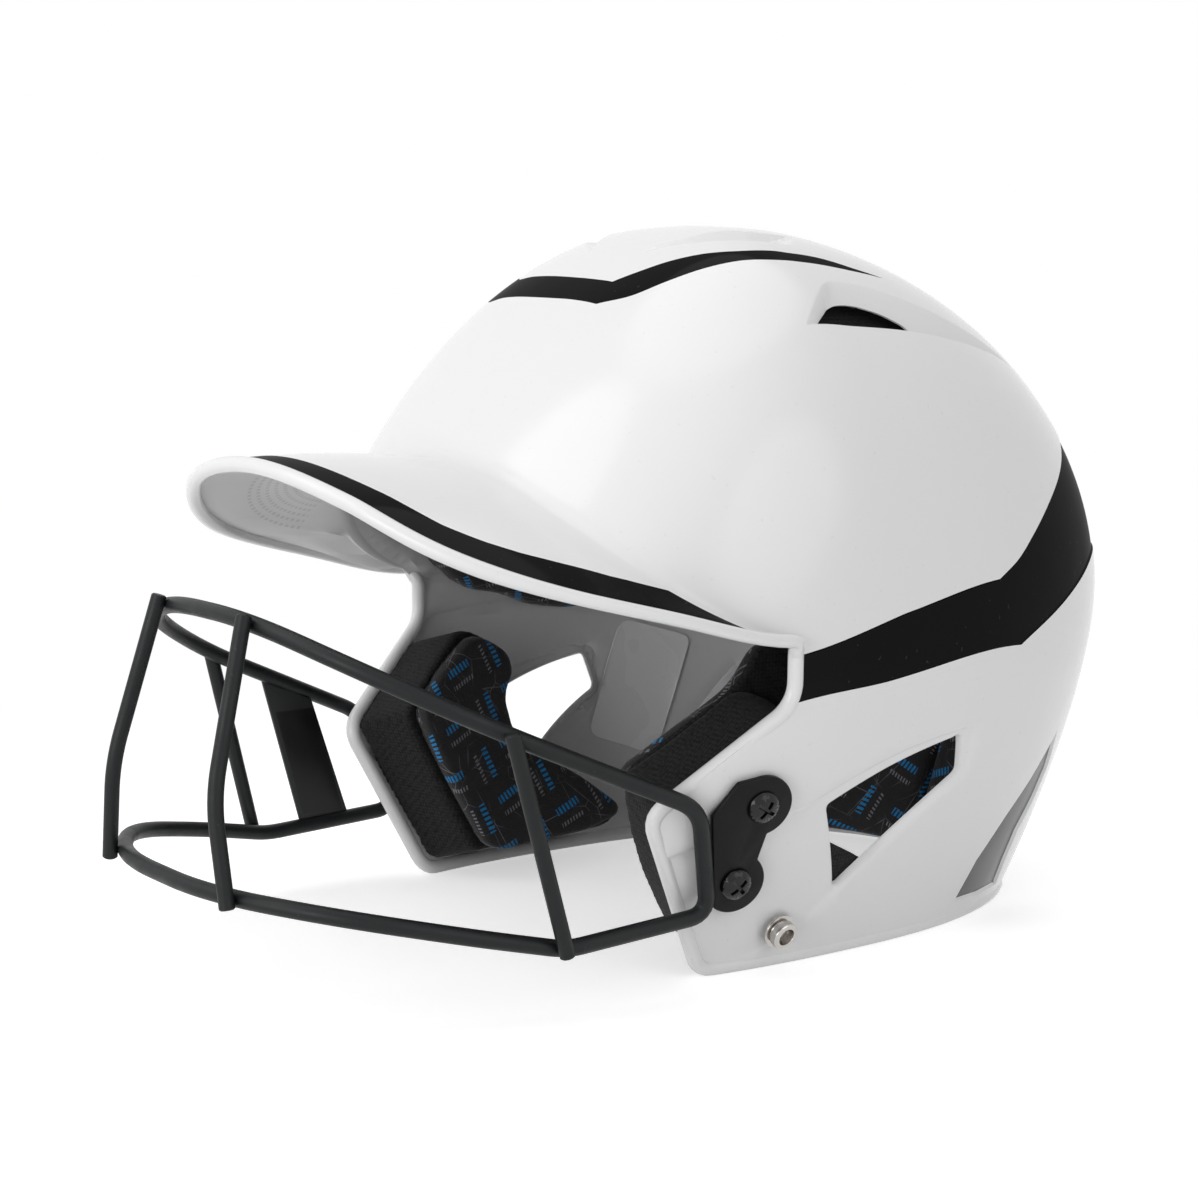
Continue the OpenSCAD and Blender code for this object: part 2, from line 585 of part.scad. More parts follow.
// Outline with rounded corners, in the order that turns front faces outwards
function soft(corners, d, n) = let(k = len(corners))
    [for (i = [0 : k - 1]) each bend(corners[(i + k - 1) % k], corners[i], corners[(i + 1) % k], d, n)];

inner_w = wall + pad_gap;
foam_base = soft([[-3.5, 77], [-33, 53.3], [-10, 5.2], [48, 5.2], [56, 10], [55, 17.5], [40, 29], [27, 39],
                  [19, 46.5], [18, 55], [22, 62], [21, 70], [14, 77], [4, 79]], 2.4, 2);
foam_face = soft([[1.2, 83.4], [-28.3, 59.7], [-5.3, 11.6], [50, 11.8], [56.5, 14], [56.5, 19.5], [44, 30],
                  [31, 38.5], [18.5, 47.5], [16, 58], [21.5, 66.5], [20.5, 74], [13, 80], [6, 83]], 2.4, 2);
foam_middle = [0, 42];
// The left cushion's upper lobe stands higher than the right one's
cushion_front = [[-13, 71.2], [-26, 60], [-14.5, 36], [-3.5, 13.5], [3.5, 11.2], [38.5, 12.3], [53.5, 15.8],
                 [55.3, 19.6], [43, 29.7], [30, 38], [17, 47.6], [15, 60.5]];
lobe_left = [[21, 70], [25, 82], [24, 92], [17, 97], [10.5, 95], [3.5, 83.5]];
lobe_right = [[20.5, 68.4], [18.8, 74.7], [11.3, 79.6], [3.5, 81.8]];
cushion_middle = [3, 46];
module ear_foam() {
    difference() {
        pad("side", foam_base, foam_face, foam_middle, inner_w, foam_t, foam_t * 0.95, 4);
        bracket_frame() for (s = [-1, 1])
            translate([0, s * screw_pitch / 2, nut_face - nut_t - pad_gap])
                cylinder(r = nut_r + pad_gap, h = 20, $fn = 48);
        snap_frame() translate([0, 0, shank_low - pad_gap])
            cylinder(r = snap_washer_r + pad_gap, h = 20, $fn = 48);
    }
}
module ear_cushion(lobe) {
    outline = soft(concat(cushion_front, lobe), 2.2, 2);
    pad("side", outline, outline, cushion_middle, inner_w + foam_t + pad_gap, cushion_t, 2.2, 5);
}
module ear_foam_left() { color("dimgray") seat() ear_foam(); }
module ear_foam_right() { color("dimgray") seat() mirror([1, 0, 0]) ear_foam(); }
module ear_cushion_left() { color("slategray") seat() ear_cushion(lobe_left); }
module ear_cushion_right() { color("slategray") seat() mirror([1, 0, 0]) ear_cushion(lobe_right); }

side_outline = soft([[6, 140], [-3, 112], [8, 101.5], [19, 93.5], [34, 91], [45, 86], [62, 83.5], [72, 85],
                     [74, 100], [69, 122], [58, 140], [30, 146]], 4, 2);
module side_pad() { pad("side", side_outline, side_outline, [38, 118], inner_w, pad_t, 3, 4); }
module side_pad_left() { color("slategray") seat() side_pad(); }
module side_pad_right() { color("slategray") seat() mirror([1, 0, 0]) side_pad(); }

rear_base = soft([[40, 58], [62, 44], [64, 22], [52, 6.5], [1.2, 5.4], [1.2, 56]], 4, 3);
rear_face = soft([[40, 58], [62, 44], [64, 20], [52, 3.6], [1.2, 2.4], [1.2, 56]], 4, 3);
module rear_pad() { pad("rear", rear_base, rear_face, [32, 32], inner_w, pad_t, 3, 4); }
module rear_pad_left() { color("slategray") seat() rear_pad(); }
module rear_pad_right() { color("slategray") seat() mirror([1, 0, 0]) rear_pad(); }

brow_outline = soft([[-46, 173], [-56, 149], [-30, 151.5], [0, 153], [30, 151.5], [56, 149], [46, 173],
                     [0, 179]], 5, 3);
module brow_pad() {
    color("slategray") seat() pad("front", brow_outline, brow_outline, [0, 164], inner_w, pad_t - 1, 3, 4);
}

// Crown pad: a wide cap that lies against the pans under the scoops and shows through their holes
cap_points = 40;
cap_rings = 7;
function cap(w) = [for (i = [0 : cap_rings - 1])
    let(top = crown_h - w, z = top - (top - crown_pad_z) * pow(1 - i / cap_rings, 1.7))
    for (j = [0 : cap_points - 1]) ring_pt(z, 360 * (j + 0.5) / cap_points, w)];
module crown_pad() {
    n = cap_points;
    m = cap_rings;
    edge_t = 2.5;
    depth = vent_depth + pan_t + pad_gap;
    outer = concat(cap(depth), [[0, mid_y, crown_h - depth]]);
    inner = [for (i = [0 : len(outer) - 1]) let(p = outer[i], k = i < m * n ? floor(i / n) / m : 1)
        [p[0] * 0.97, mid_y + (p[1] - mid_y) * 0.97, p[2] - edge_t - (crown_pad_t - edge_t) * pow(k, 0.5)]];
    h = len(outer);
    ring = [for (i = [0 : m - 2]) for (j = [0 : n - 1]) [i * n + j, i * n + (j + 1) % n]];
    faces = concat(
        [for (r = ring) [r[0], r[0] + n, r[1] + n]],
        [for (r = ring) [r[0], r[1] + n, r[1]]],
        [for (j = [0 : n - 1]) [(m - 1) * n + j, m * n, (m - 1) * n + (j + 1) % n]],
        [for (r = ring) [h + r[0], h + r[1] + n, h + r[0] + n]],
        [for (r = ring) [h + r[0], h + r[1], h + r[1] + n]],
        [for (j = [0 : n - 1]) [h + (m - 1) * n + j, h + (m - 1) * n + (j + 1) % n, h + m * n]],
        [for (j = [0 : n - 1]) [j, (j + 1) % n, h + (j + 1) % n]],
        [for (j = [0 : n - 1]) [j, h + (j + 1) % n, h + j]]);
    color("slategray") seat() polyhedron(points = concat(outer, inner), faces = faces, convexity = 4);
}

// Plain label stuck inside the shell behind the right ear opening
module inner_label() {
    outline = soft([[88, 74], [69.5, 38.5], [97, 34], [112, 66]], 3, 3);
    color("lightgray") seat() mirror([1, 0, 0])
        pad("side", outline, outline, [92, 53], wall + 0.35, label_t, label_t * 0.9, 3);
}

shell();
mask_loop();
front_bar_left();
front_bar_right();
side_bar_left();
side_bar_right();
label_plate();
bracket_left();
bracket_right();
upper_screw_left();
lower_screw_left();
upper_screw_right();
lower_screw_right();
backing_nuts_left();
backing_nuts_right();
snap_stud_left();
snap_stud_right();
snap_washer_left();
snap_washer_right();
ear_foam_left();
ear_foam_right();
ear_cushion_left();
ear_cushion_right();
side_pad_left();
side_pad_right();
rear_pad_left();
rear_pad_right();
brow_pad();
crown_pad();
inner_label();
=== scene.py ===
# %% [markdown]
# # Batting helmet with a wire face mask
# The real helmet is one moulded shell with a short brim and two ear flaps. Foam blocks and covered
# pads are stuck inside it, and a bent wire mask is screwed to each flap through a bracket plate.
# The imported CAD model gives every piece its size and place. This lesson dresses it: the plain pieces
# are remodelled smoothly over the same sizes, and the small hardware keeps its CAD shape.

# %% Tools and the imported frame
import math
import bpy
import numpy as np
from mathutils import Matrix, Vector, geometry, kdtree


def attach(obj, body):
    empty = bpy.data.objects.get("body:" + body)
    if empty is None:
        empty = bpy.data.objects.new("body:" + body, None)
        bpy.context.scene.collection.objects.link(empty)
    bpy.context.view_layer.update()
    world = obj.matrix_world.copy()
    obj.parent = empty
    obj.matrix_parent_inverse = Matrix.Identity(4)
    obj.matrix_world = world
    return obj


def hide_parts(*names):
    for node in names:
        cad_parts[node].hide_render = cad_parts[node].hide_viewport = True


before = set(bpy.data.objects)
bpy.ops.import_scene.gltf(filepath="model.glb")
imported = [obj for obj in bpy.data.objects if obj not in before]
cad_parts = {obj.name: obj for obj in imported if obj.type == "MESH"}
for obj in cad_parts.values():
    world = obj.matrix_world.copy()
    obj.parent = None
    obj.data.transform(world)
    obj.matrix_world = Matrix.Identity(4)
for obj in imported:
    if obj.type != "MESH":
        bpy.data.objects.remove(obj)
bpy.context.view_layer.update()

scene = bpy.context.scene
bpy.ops.object.select_all(action="DESELECT")

# %% [markdown]
# ## Camera
# The photograph was taken from the helmet's front left, a little above its middle, with a long lens.
# The image is square, and the focal length is counted in the photograph's own pixels.

# %% Camera
IMAGE_PX = 1198
FOCAL_PX = 2400.0
SENSOR_MM = 36.0
bpy.ops.object.camera_add(location=(0.6045, -0.4537, 0.2032),
                          rotation=(math.radians(82.269), 0, math.radians(53.757)))
camera = bpy.context.object
camera.name = "photo_camera"
camera.data.sensor_width = SENSOR_MM
camera.data.lens = SENSOR_MM * FOCAL_PX / IMAGE_PX
camera.data.clip_start = 0.01
scene.camera = camera
scene.view_settings.view_transform = "Standard"
print("lens mm:", round(camera.data.lens, 2))

# %% [markdown]
# ## Small node helpers
# Every material below is built from nodes, so short helpers keep the cells readable. One puts a node
# and fills its inputs with values or with other nodes' outputs. The others stand on it: sums, mixed
# colours, stretched ranges, node groups with named inputs and outputs, and the Principled material.

# %% Node helpers
def put(tree, kind, inputs=None, **props):
    made = tree.nodes.new("ShaderNode" + kind)
    for prop, value in props.items():
        setattr(made, prop, value)
    for name, value in (inputs or {}).items():
        if isinstance(value, bpy.types.NodeSocket):
            tree.links.new(value, made.inputs[name])
        else:
            made.inputs[name].default_value = value
    return made


def calc(tree, operation, a, b=0.0):
    return put(tree, "Math", {0: a, 1: b}, operation=operation).outputs[0]


def product(tree, first, *others):
    for other in others:
        first = calc(tree, "MULTIPLY", first, other)
    return first


def blend(tree, factor, a, b):
    return put(tree, "Mix", {0: factor, 6: a, 7: b}, data_type="RGBA").outputs[2]


def span(tree, value, low, high, to_low=0.0, to_high=1.0):
    return put(tree, "MapRange", {"Value": value, "From Min": low, "From Max": high,
                                  "To Min": to_low, "To Max": to_high}).outputs[0]


def place_of(tree):
    return put(tree, "TexCoord").outputs["Object"]

# %% Groups and materials
def new_group(name, takes, gives):
    tree = bpy.data.node_groups.new(name, "ShaderNodeTree")
    for label, kind, value in takes:
        socket = tree.interface.new_socket(label, in_out="INPUT", socket_type="NodeSocket" + kind)
        if value is not None:
            socket.default_value = value
    for label, kind in gives:
        tree.interface.new_socket(label, in_out="OUTPUT", socket_type="NodeSocket" + kind)
    return tree, tree.nodes.new("NodeGroupInput").outputs, tree.nodes.new("NodeGroupOutput").inputs


def place_group(tree, group, inputs):
    return put(tree, "Group", inputs, node_tree=group).outputs


def connect(tree, inputs, sources):
    for name, source in sources.items():
        tree.links.new(source, inputs[name])


def opened(material):
    return material.node_tree, material.node_tree.nodes["Principled BSDF"].inputs


def new_material(name, sockets):
    material = bpy.data.materials.new(name)
    material.use_nodes = True
    tree, shader = opened(material)
    for socket, value in sockets.items():
        shader[socket].default_value = value
    return material, tree, shader

# %% [markdown]
# ## Shared effects
# Moulded and painted surfaces are never quite even: they have a slow waviness, a fine grain and specks
# of dust. One group makes all three, and each material places it with its own values.

# %% Group for moulded and painted surfaces
finish_group, takes, gives = new_group(
    "moulded_finish",
    [("Waves", "Float", 60.0), ("Wave Height", "Float", 0.0002), ("Grain", "Float", 2500.0),
     ("Grain Height", "Float", 0.00002), ("Speck Size", "Float", 700.0)],
    [("Normal", "Vector"), ("Mottle", "Float"), ("Specks", "Float")])
place = place_of(finish_group)
waves = put(finish_group, "TexNoise", {"Vector": place, "Scale": takes["Waves"], "Detail": 1.0})
grain = put(finish_group, "TexNoise", {"Vector": place, "Scale": takes["Grain"], "Detail": 2.0})
dust = put(finish_group, "TexNoise", {"Vector": place, "Scale": takes["Speck Size"], "Detail": 0.0})
wavy = put(finish_group, "Bump", {"Height": waves.outputs["Fac"], "Distance": takes["Wave Height"]})
grainy = put(finish_group, "Bump", {"Height": grain.outputs["Fac"], "Distance": takes["Grain Height"],
                                    "Normal": wavy.outputs["Normal"]})
connect(finish_group, gives, {"Normal": grainy.outputs["Normal"], "Mottle": waves.outputs["Fac"],
                              "Specks": span(finish_group, dust.outputs["Fac"], 0.80, 0.84)})
print("group:", finish_group.name)

# %% [markdown]
# ## White, black and grey plastics
# The shell is a gloss white moulding whose inside was left unpolished. The bands on it are gloss black
# paint, with dust and faint scuffs that only show in reflections, so they go into the roughness.

# %% Shell materials
def plastic(name, colour, dusty, roughness, extra=0.05, waves=45.0, wave_height=0.00012,
            grain_height=0.0, coat=0.0, level=0.5):
    material, tree, shader = new_material(name, {"Coat Weight": coat, "Coat Roughness": 0.06,
                                                 "Specular IOR Level": level})
    look = place_group(tree, finish_group, {"Waves": waves, "Wave Height": wave_height,
                                            "Grain Height": grain_height})
    connect(tree, shader, {
        "Base Color": blend(tree, look["Specks"], colour, dusty),
        "Roughness": span(tree, look["Mottle"], 0.3, 0.7, roughness, roughness + extra),
        "Normal": look["Normal"]})
    return material


white_gloss = plastic("white_gloss", (0.84, 0.84, 0.845, 1), (0.80, 0.80, 0.80, 1), 0.14, level=0.45)
inside_matte = plastic("inside_matte", (0.74, 0.73, 0.735, 1), (0.70, 0.70, 0.70, 1), 0.42, 0.12,
                       waves=70.0, wave_height=0.0003, grain_height=0.00003)
band_black = plastic("band_black", (0.0022, 0.0022, 0.0024, 1), (0.02, 0.02, 0.02, 1), 0.06, 0.06)
nape_grey = plastic("nape_grey", (0.020, 0.021, 0.022, 1), (0.06, 0.06, 0.06, 1), 0.20, 0.08)

# The bands stay deep black at a slant, where paint would mirror the pale surroundings
tree, shader = opened(band_black)
square_on = calc(tree, "SUBTRACT", 1.0, put(tree, "LayerWeight", {"Blend": 0.5}).outputs["Facing"])
connect(tree, shader, {"Specular IOR Level": product(tree, calc(tree, "POWER", square_on, 2.6), 0.15)})
print("shell materials made")

# %% [markdown]
# Under the brim the mould leaves faint dotted arcs round two centres, one on each half. They are too
# fine to be worth a mesh, so the inside material darkens along them.

# %% Arcs under the brim
ARC_SIDE, ARC_BACK = 0.045, -0.0676
ARC_PITCH, ARC_FIRST, ARC_LAST = 0.0028, 0.0205, 0.0380
BRIM_ONLY = 0.119
tree, shader = opened(inside_matte)
x, y, z = put(tree, "SeparateXYZ", {0: place_of(tree)}).outputs
x = calc(tree, "SUBTRACT", calc(tree, "ABSOLUTE", x), ARC_SIDE)
y = calc(tree, "SUBTRACT", y, ARC_BACK)
away = calc(tree, "SQRT", calc(tree, "ADD", product(tree, x, x), product(tree, y, y)))
dots = calc(tree, "SINE", product(tree, calc(tree, "ARCTAN2", y, x), 90.0))
beat = calc(tree, "FRACT", calc(tree, "DIVIDE", away, ARC_PITCH))
arcs = product(tree, calc(tree, "LESS_THAN", beat, 0.42),
               calc(tree, "GREATER_THAN", dots, -0.3), calc(tree, "GREATER_THAN", away, ARC_FIRST),
               calc(tree, "LESS_THAN", away, ARC_LAST), calc(tree, "LESS_THAN", y, -0.004),
               calc(tree, "GREATER_THAN", z, BRIM_ONLY))
plain = shader["Base Color"].links[0].from_socket
connect(tree, shader, {"Base Color": blend(tree, product(tree, arcs, 0.40), plain, (0.40, 0.40, 0.40, 1))})
print("arcs:", round((ARC_LAST - ARC_FIRST) / ARC_PITCH), "a side")

# %% [markdown]
# ## The shell's surface
# The dome is a stack of level sections. Each is a squarish oval, |x/half|^n + |y/reach|^n = 1, whose
# half width and reaches close in towards the crown. These are the CAD model's own sizes, in
# millimetres, counted from the front edge of the ear flaps. A function gives any point of it, on the
# outer face or w millimetres inside it.

# %% Sizes of the shell
CROWN_H, MID_Y, PLAN = 218.7, 40.6, 2.43
WALL, BEAD_R = 3.0, 2.3
Y_SHIFT = -17.625

# Widest reach, its level, how full the curve above it is, and how fast the wall tucks in below it
HALF = (104.3, 94.2, 2.40, 0.028)
REAR = (142.4, 103.3, 1.80, 0.028)
FRONT = (128.0, 53.3, 1.61, 0.0)
TUCK_ROUND = 14.0


def reach(z, size, w=0.0):
    full, level, fullness, tuck = size
    t = np.clip((z - level) / (CROWN_H - w - level), 0, 1)
    above = (full - w) * (1 - t ** fullness) ** (1 / fullness)
    d = np.maximum(level - z, 0)
    soft_start = d * d * (1.5 / math.sqrt(TUCK_ROUND) - 0.5 * d / TUCK_ROUND ** 1.5)
    fall = np.where(d > TUCK_ROUND, d ** 1.5, soft_start)
    return np.where(z > level, above, full - w - tuck * fall)


def end_reach(behind, z, w=0.0):
    return np.where(behind, reach(z, REAR, w), reach(z, FRONT, w))


def dome(angle, z, w=0.0):
    """Point of the dome at a level, at an angle round the middle of its oval"""
    c, s = np.cos(angle), np.sin(angle)
    out = (np.abs(c) ** PLAN + np.abs(s) ** PLAN) ** (-1 / PLAN)
    return np.stack([reach(z, HALF, w) * out * c, MID_Y + end_reach(s > 0, z, w) * out * s,
                     z + 0 * angle], axis=-1)


def arc(t):
    return np.maximum(0, 1 - np.minimum(1, np.abs(t)) ** PLAN) ** (1 / PLAN)


def side_x(y, z, w=0.0):
    return reach(z, HALF, w) * arc((y - MID_Y) / end_reach(y > MID_Y, z, w))


def front_y(x, z, w=0.0):
    return MID_Y - reach(z, FRONT, w) * arc(x / reach(z, HALF, w))


def rear_y(x, z, w=0.0):
    return MID_Y + reach(z, REAR, w) * arc(x / reach(z, HALF, w))


def to_part(points):
    """Millimetres in the drawing to metres in the part's frame"""
    return (np.asarray(points, float) + [0, Y_SHIFT, 0]) * 0.001


print("half width at the ears:", round(float(reach(50.0, HALF)), 2))

# %% [markdown]
# ## A flat chart of the dome
# Outlines are easiest to cut on a flat sheet. The chart spreads the dome round its crown, so that a
# small square on the dome stays a small square on the chart. Outlines are given where they are easy
# to measure (from the side, the top, the front or the rear) and carried to the chart. In the code q is
# a list of chart points.

# %% Chart of the dome
LOWEST, POLE = -8.0, 0.004
tilt = np.linspace(math.asin(LOWEST / CROWN_H), math.pi / 2 - POLE, 6000)
level_z = CROWN_H * np.sin(tilt)
level_r = np.sqrt(reach(level_z, HALF) * (reach(level_z, REAR) + reach(level_z, FRONT)) / 2)
level_s = np.hypot(np.diff(level_z), np.diff(level_r))
level_log = -np.concatenate([[0], np.cumsum(level_s / ((level_r[1:] + level_r[:-1]) / 2))])
level_log -= np.interp(0, level_z, level_log)
level_run = np.concatenate([[0], np.cumsum(level_s)])


def on_chart(x, y, z):
    angle = np.arctan2((y - MID_Y) / end_reach(y > MID_Y, z), x / reach(z, HALF))
    r = np.exp(np.interp(z, level_z, level_log))
    return np.stack([r * np.cos(angle), r * np.sin(angle)], axis=-1)


def off_chart(q, w=0.0):
    r = np.maximum(np.hypot(q[..., 0], q[..., 1]), 1e-9)
    z = np.interp(-np.log(r), -level_log, level_z)
    return dome(np.arctan2(q[..., 1], q[..., 0]), z, w)


def chart_per_mm(q):
    r = np.hypot(q[..., 0], q[..., 1])
    return r / np.interp(-np.log(r), -level_log, level_r)


print("chart radius at the ear openings:", round(float(np.exp(np.interp(45, level_z, level_log))), 3))

# %% Ways on to the chart
def from_side(points):
    y, z = np.asarray(points, float).T
    return on_chart(side_x(y, z), y, z)


def from_rear(points):
    x, z = np.asarray(points, float).T
    return on_chart(x, rear_y(x, z), z)


def from_front(points):
    x, z = np.asarray(points, float).T
    return on_chart(x, front_y(x, z), z)


def highest(room, count):
    """The level up to which room(z) stays above nothing, found by halving"""
    low, high = np.full(count, 60.0), np.full(count, CROWN_H - 0.001)
    for _ in range(50):
        half_way = (low + high) / 2
        under = room(half_way) > 0
        low, high = np.where(under, half_way, low), np.where(under, high, half_way)
    return low


def from_top(points):
    x, y = np.asarray(points, float).T

    def room(z):
        return 1 - np.abs(x / reach(z, HALF)) ** PLAN - np.abs((y - MID_Y) / end_reach(y > MID_Y, z)) ** PLAN
    return on_chart(x, y, highest(room, len(x)))


LEAN = math.radians(38)


def from_leaning(points):
    """Looked at along the line of the scoops, which leans 38 degrees from the vertical"""
    across, y = np.asarray(points, float).T

    def room(z):
        return side_x(y, z) * math.cos(LEAN) - z * math.sin(LEAN) - across
    z = highest(room, len(y))
    return on_chart(side_x(y, z), y, z)


def mirrored(q):
    return (np.asarray(q) * [-1, 1])[::-1]


def both(loop):
    return loop, mirrored(loop)


print("top of the head, from the side:", from_side([(MID_Y, 200)]).round(3))

# %% Lines on the chart
def unit(v):
    v = np.asarray(v, float)
    return v / np.linalg.norm(v)


def bend(a, p, b, d, n):
    """Soft corner at p between a and b, starting d before it"""
    a, p, b = (np.asarray(v, float) for v in (a, p, b))
    start, end = p + unit(a - p) * d, p + unit(b - p) * d
    t = np.linspace(0, 1, n + 1)[:, None]
    return (1 - t) ** 2 * start + 2 * t * (1 - t) * p + t * t * end


def rounded(corners, d, n=4):
    """Closed outline with soft corners, no softer than its short sides allow"""
    k = len(corners)
    side = [math.dist(corners[i], corners[(i + 1) % k]) for i in range(k)]
    return np.concatenate([
        bend(corners[i - 1], corners[i], corners[(i + 1) % k], min(d, 0.46 * side[i - 1], 0.46 * side[i]), n)
        for i in range(k)])


def flowing(points, step=1.6, corners=()):
    """Smooth line through chart points, with sharp turns only at the listed ones"""
    p = np.asarray(points, float)
    gap = np.linalg.norm(np.diff(p, axis=0), axis=1)
    slope = np.diff(p, axis=0) / gap[:, None]
    ahead = np.concatenate([slope, slope[-1:]])
    back = np.concatenate([slope[:1], slope])
    for i in range(1, len(p) - 1):
        if i not in corners:
            mean = (slope[i - 1] * gap[i] + slope[i] * gap[i - 1]) / (gap[i] + gap[i - 1])
            ahead[i] = back[i] = mean
    made = []
    for i in range(len(p) - 1):
        n = max(1, math.ceil(np.linalg.norm(off_chart(p[i + 1]) - off_chart(p[i])) / step))
        t = (np.arange(n) / n)[:, None]
        made.append((2 * t ** 3 - 3 * t ** 2 + 1) * p[i] + (t ** 3 - 2 * t ** 2 + t) * gap[i] * ahead[i]
                    + (3 * t ** 2 - 2 * t ** 3) * p[i + 1] + (t ** 3 - t ** 2) * gap[i] * back[i + 1])
    return np.concatenate(made + [p[-1:]])


def straight(points, step=1.6, closed=True):
    """Chart points along a polygon, close together, all corners kept"""
    p = np.asarray(points, float)
    ends = np.roll(p, -1, axis=0) if closed else p[1:]
    made = []
    for a, b in zip(p, ends):
        n = max(1, math.ceil(np.linalg.norm(off_chart(b) - off_chart(a)) / step))
        made.append(a + (np.arange(n) / n)[:, None] * (b - a))
    return np.concatenate(made if closed else made + [p[-1:]])

# %% Loops moved, asked and measured
def shifted(loop, mm):
    """Closed loop moved outwards on the chart by mm, inwards when negative"""
    before, after = np.roll(loop, 1, axis=0), np.roll(loop, -1, axis=0)
    run = after - before
    run /= np.maximum(np.linalg.norm(run, axis=1), 1e-9)[:, None]
    area = np.sum(loop[:, 0] * after[:, 1] - after[:, 0] * loop[:, 1])
    normal = np.stack([run[:, 1], -run[:, 0]], axis=1) * (1 if area > 0 else -1)
    return loop + normal * (mm * chart_per_mm(loop))[:, None]


def inside(loop, q):
    result = np.zeros(len(q), bool)
    for (x0, y0), (x1, y1) in zip(loop, np.roll(loop, -1, axis=0)):
        if y0 != y1:
            crosses = (y0 > q[:, 1]) != (y1 > q[:, 1])
            result ^= crosses & (q[:, 0] < (x1 - x0) * (q[:, 1] - y0) / (y1 - y0) + x0)
    return result


def distance(line, points, closed=True):
    """From each point to the nearest place on a line"""
    best = np.full(len(points), 1e9)
    ends = np.roll(line, -1, axis=0) if closed else line[1:]
    for a, b in zip(line, ends):
        ab = b - a
        t = np.clip((points - a) @ ab / max(ab @ ab, 1e-12), 0, 1)
        best = np.minimum(best, np.linalg.norm(points - a - t[:, None] * ab, axis=1))
    return best

# %% [markdown]
# ## Outlines
# The flap's edge, the ear opening, the painted bands, the scoops and the grooves on the crown are all
# drawn here, on the wearer's left, and mirrored where the helmet repeats them. Each has only the points
# where it turns. Straight runs and smooth runs between them are filled in by two functions.

# %% Outlines of the flap and the ear opening
FLAP_TOP_Z, BEAD_Z = 97.0, BEAD_R - 0.3
flap_corner = [(2.4, FLAP_TOP_Z + 6), (2.4, 83), (-36.3, 52.2), (-12, BEAD_Z), (20, BEAD_Z)]
flap_line = np.concatenate([[(2.4, FLAP_TOP_Z)], bend(*flap_corner[0:3], 6, 8),
                            bend(*flap_corner[1:4], 6, 8), bend(*flap_corner[2:5], 5, 8)])

ear_corner = [(19.6, 50.2), (69.8, 65.8), (72.6, 53.6), (30.3, 22.4)]
ear_loop = straight(from_side(rounded(ear_corner, 2.0)), 1.2)
ear_far_side = np.array(ear_corner[1:])

valley_corner = [(-38, 37.2), (6.8, 50.6), (71.5, 69.6), (76.2, 67), (76.2, 52), (19.5, 9.7), (2, 2.4),
                 (-38, -1)]
valley_loop = straight(from_side(rounded(valley_corner, 3)), 2.0)
print("ear opening:", len(ear_loop), "points, valley:", len(valley_loop))

# %% Outlines of the painted bands and the nape panel
band_high = flowing(np.concatenate([
    from_side([(-2, 96.2), (2.4, 96.9), (41.9, 106.3), (81, 112.7), (90.3, 117.6), (99.3, 124.3),
               (111.2, 133.1), (124.8, 142), (136.3, 149.5)]),
    from_rear([(50, 157.5), (25, 163), (0, 165)])]), 1.8, corners=(3,))
band_low = flowing(np.concatenate([
    from_side([(-2, 82.3), (35.5, 86.7), (92.1, 91.6), (112.7, 100), (129.5, 106.8), (143.2, 112)]),
    from_rear([(52, 116), (25, 118), (0, 118.5)])]), 1.8, corners=(2,))
band_loop = np.concatenate([band_high, mirrored(band_high)[1:], band_low * [-1, 1], band_low[::-1][1:]])

stripe_high = flowing(from_top([
    (-58.7, 72.1), (-56.5, 62), (-54.2, 48), (-52.3, 33), (-50.5, 20), (-46.8, 9.5), (-41.5, 5.7),
    (-31.3, 3.4), (-22.5, 1.9), (-13.1, 0.8), (-3.6, 0), (7.9, -0.7), (18, -1.1), (24.3, 4.6), (29.7, 10.3),
    (37.3, 18), (44.5, 26), (49.6, 39.3), (52.7, 51), (56.8, 61.9), (58.7, 72.1)]), 1.6, corners=(12,))
stripe_low = flowing(from_top([
    (-58.7, 72.1), (-59.3, 57), (-59.8, 42), (-59.8, 27), (-58.7, 13), (-54.5, 2.5), (-46.8, -2.5),
    (-35.2, -5), (-22.8, -7), (-14, -8), (-4.1, -8.6), (8.8, -9), (21.2, -9.5), (31.4, -4.6), (38.3, 3.6),
    (44, 12.7), (49.1, 22.3), (53.5, 32.4), (56.0, 45.1), (58.2, 57.5), (58.7, 72.1)]), 1.6, corners=(12,))
stripe_loop = np.concatenate([stripe_high[:-1], stripe_low[::-1][:-1]])

nape_loop = straight(from_side([
    (130, 58), (122.5, 51), (115.7, 44), (105, 34), (94, 20.5), (88.2, 7), (103, 6.4), (117.7, 6.2),
    (117.6, 15.2), (119.5, 25.2), (126.5, 35.3), (131, 45)]), 1.8)
print("band:", len(band_loop), "points, stripe:", len(stripe_loop), "nape panel:", len(nape_loop))

# %% [markdown]
# The scoops are deepest at their lower lip and run out to nothing towards the rear, and the grooves on
# the crown are shallow copies of that. Both are drawn as three edges that close a loop, the lip first.

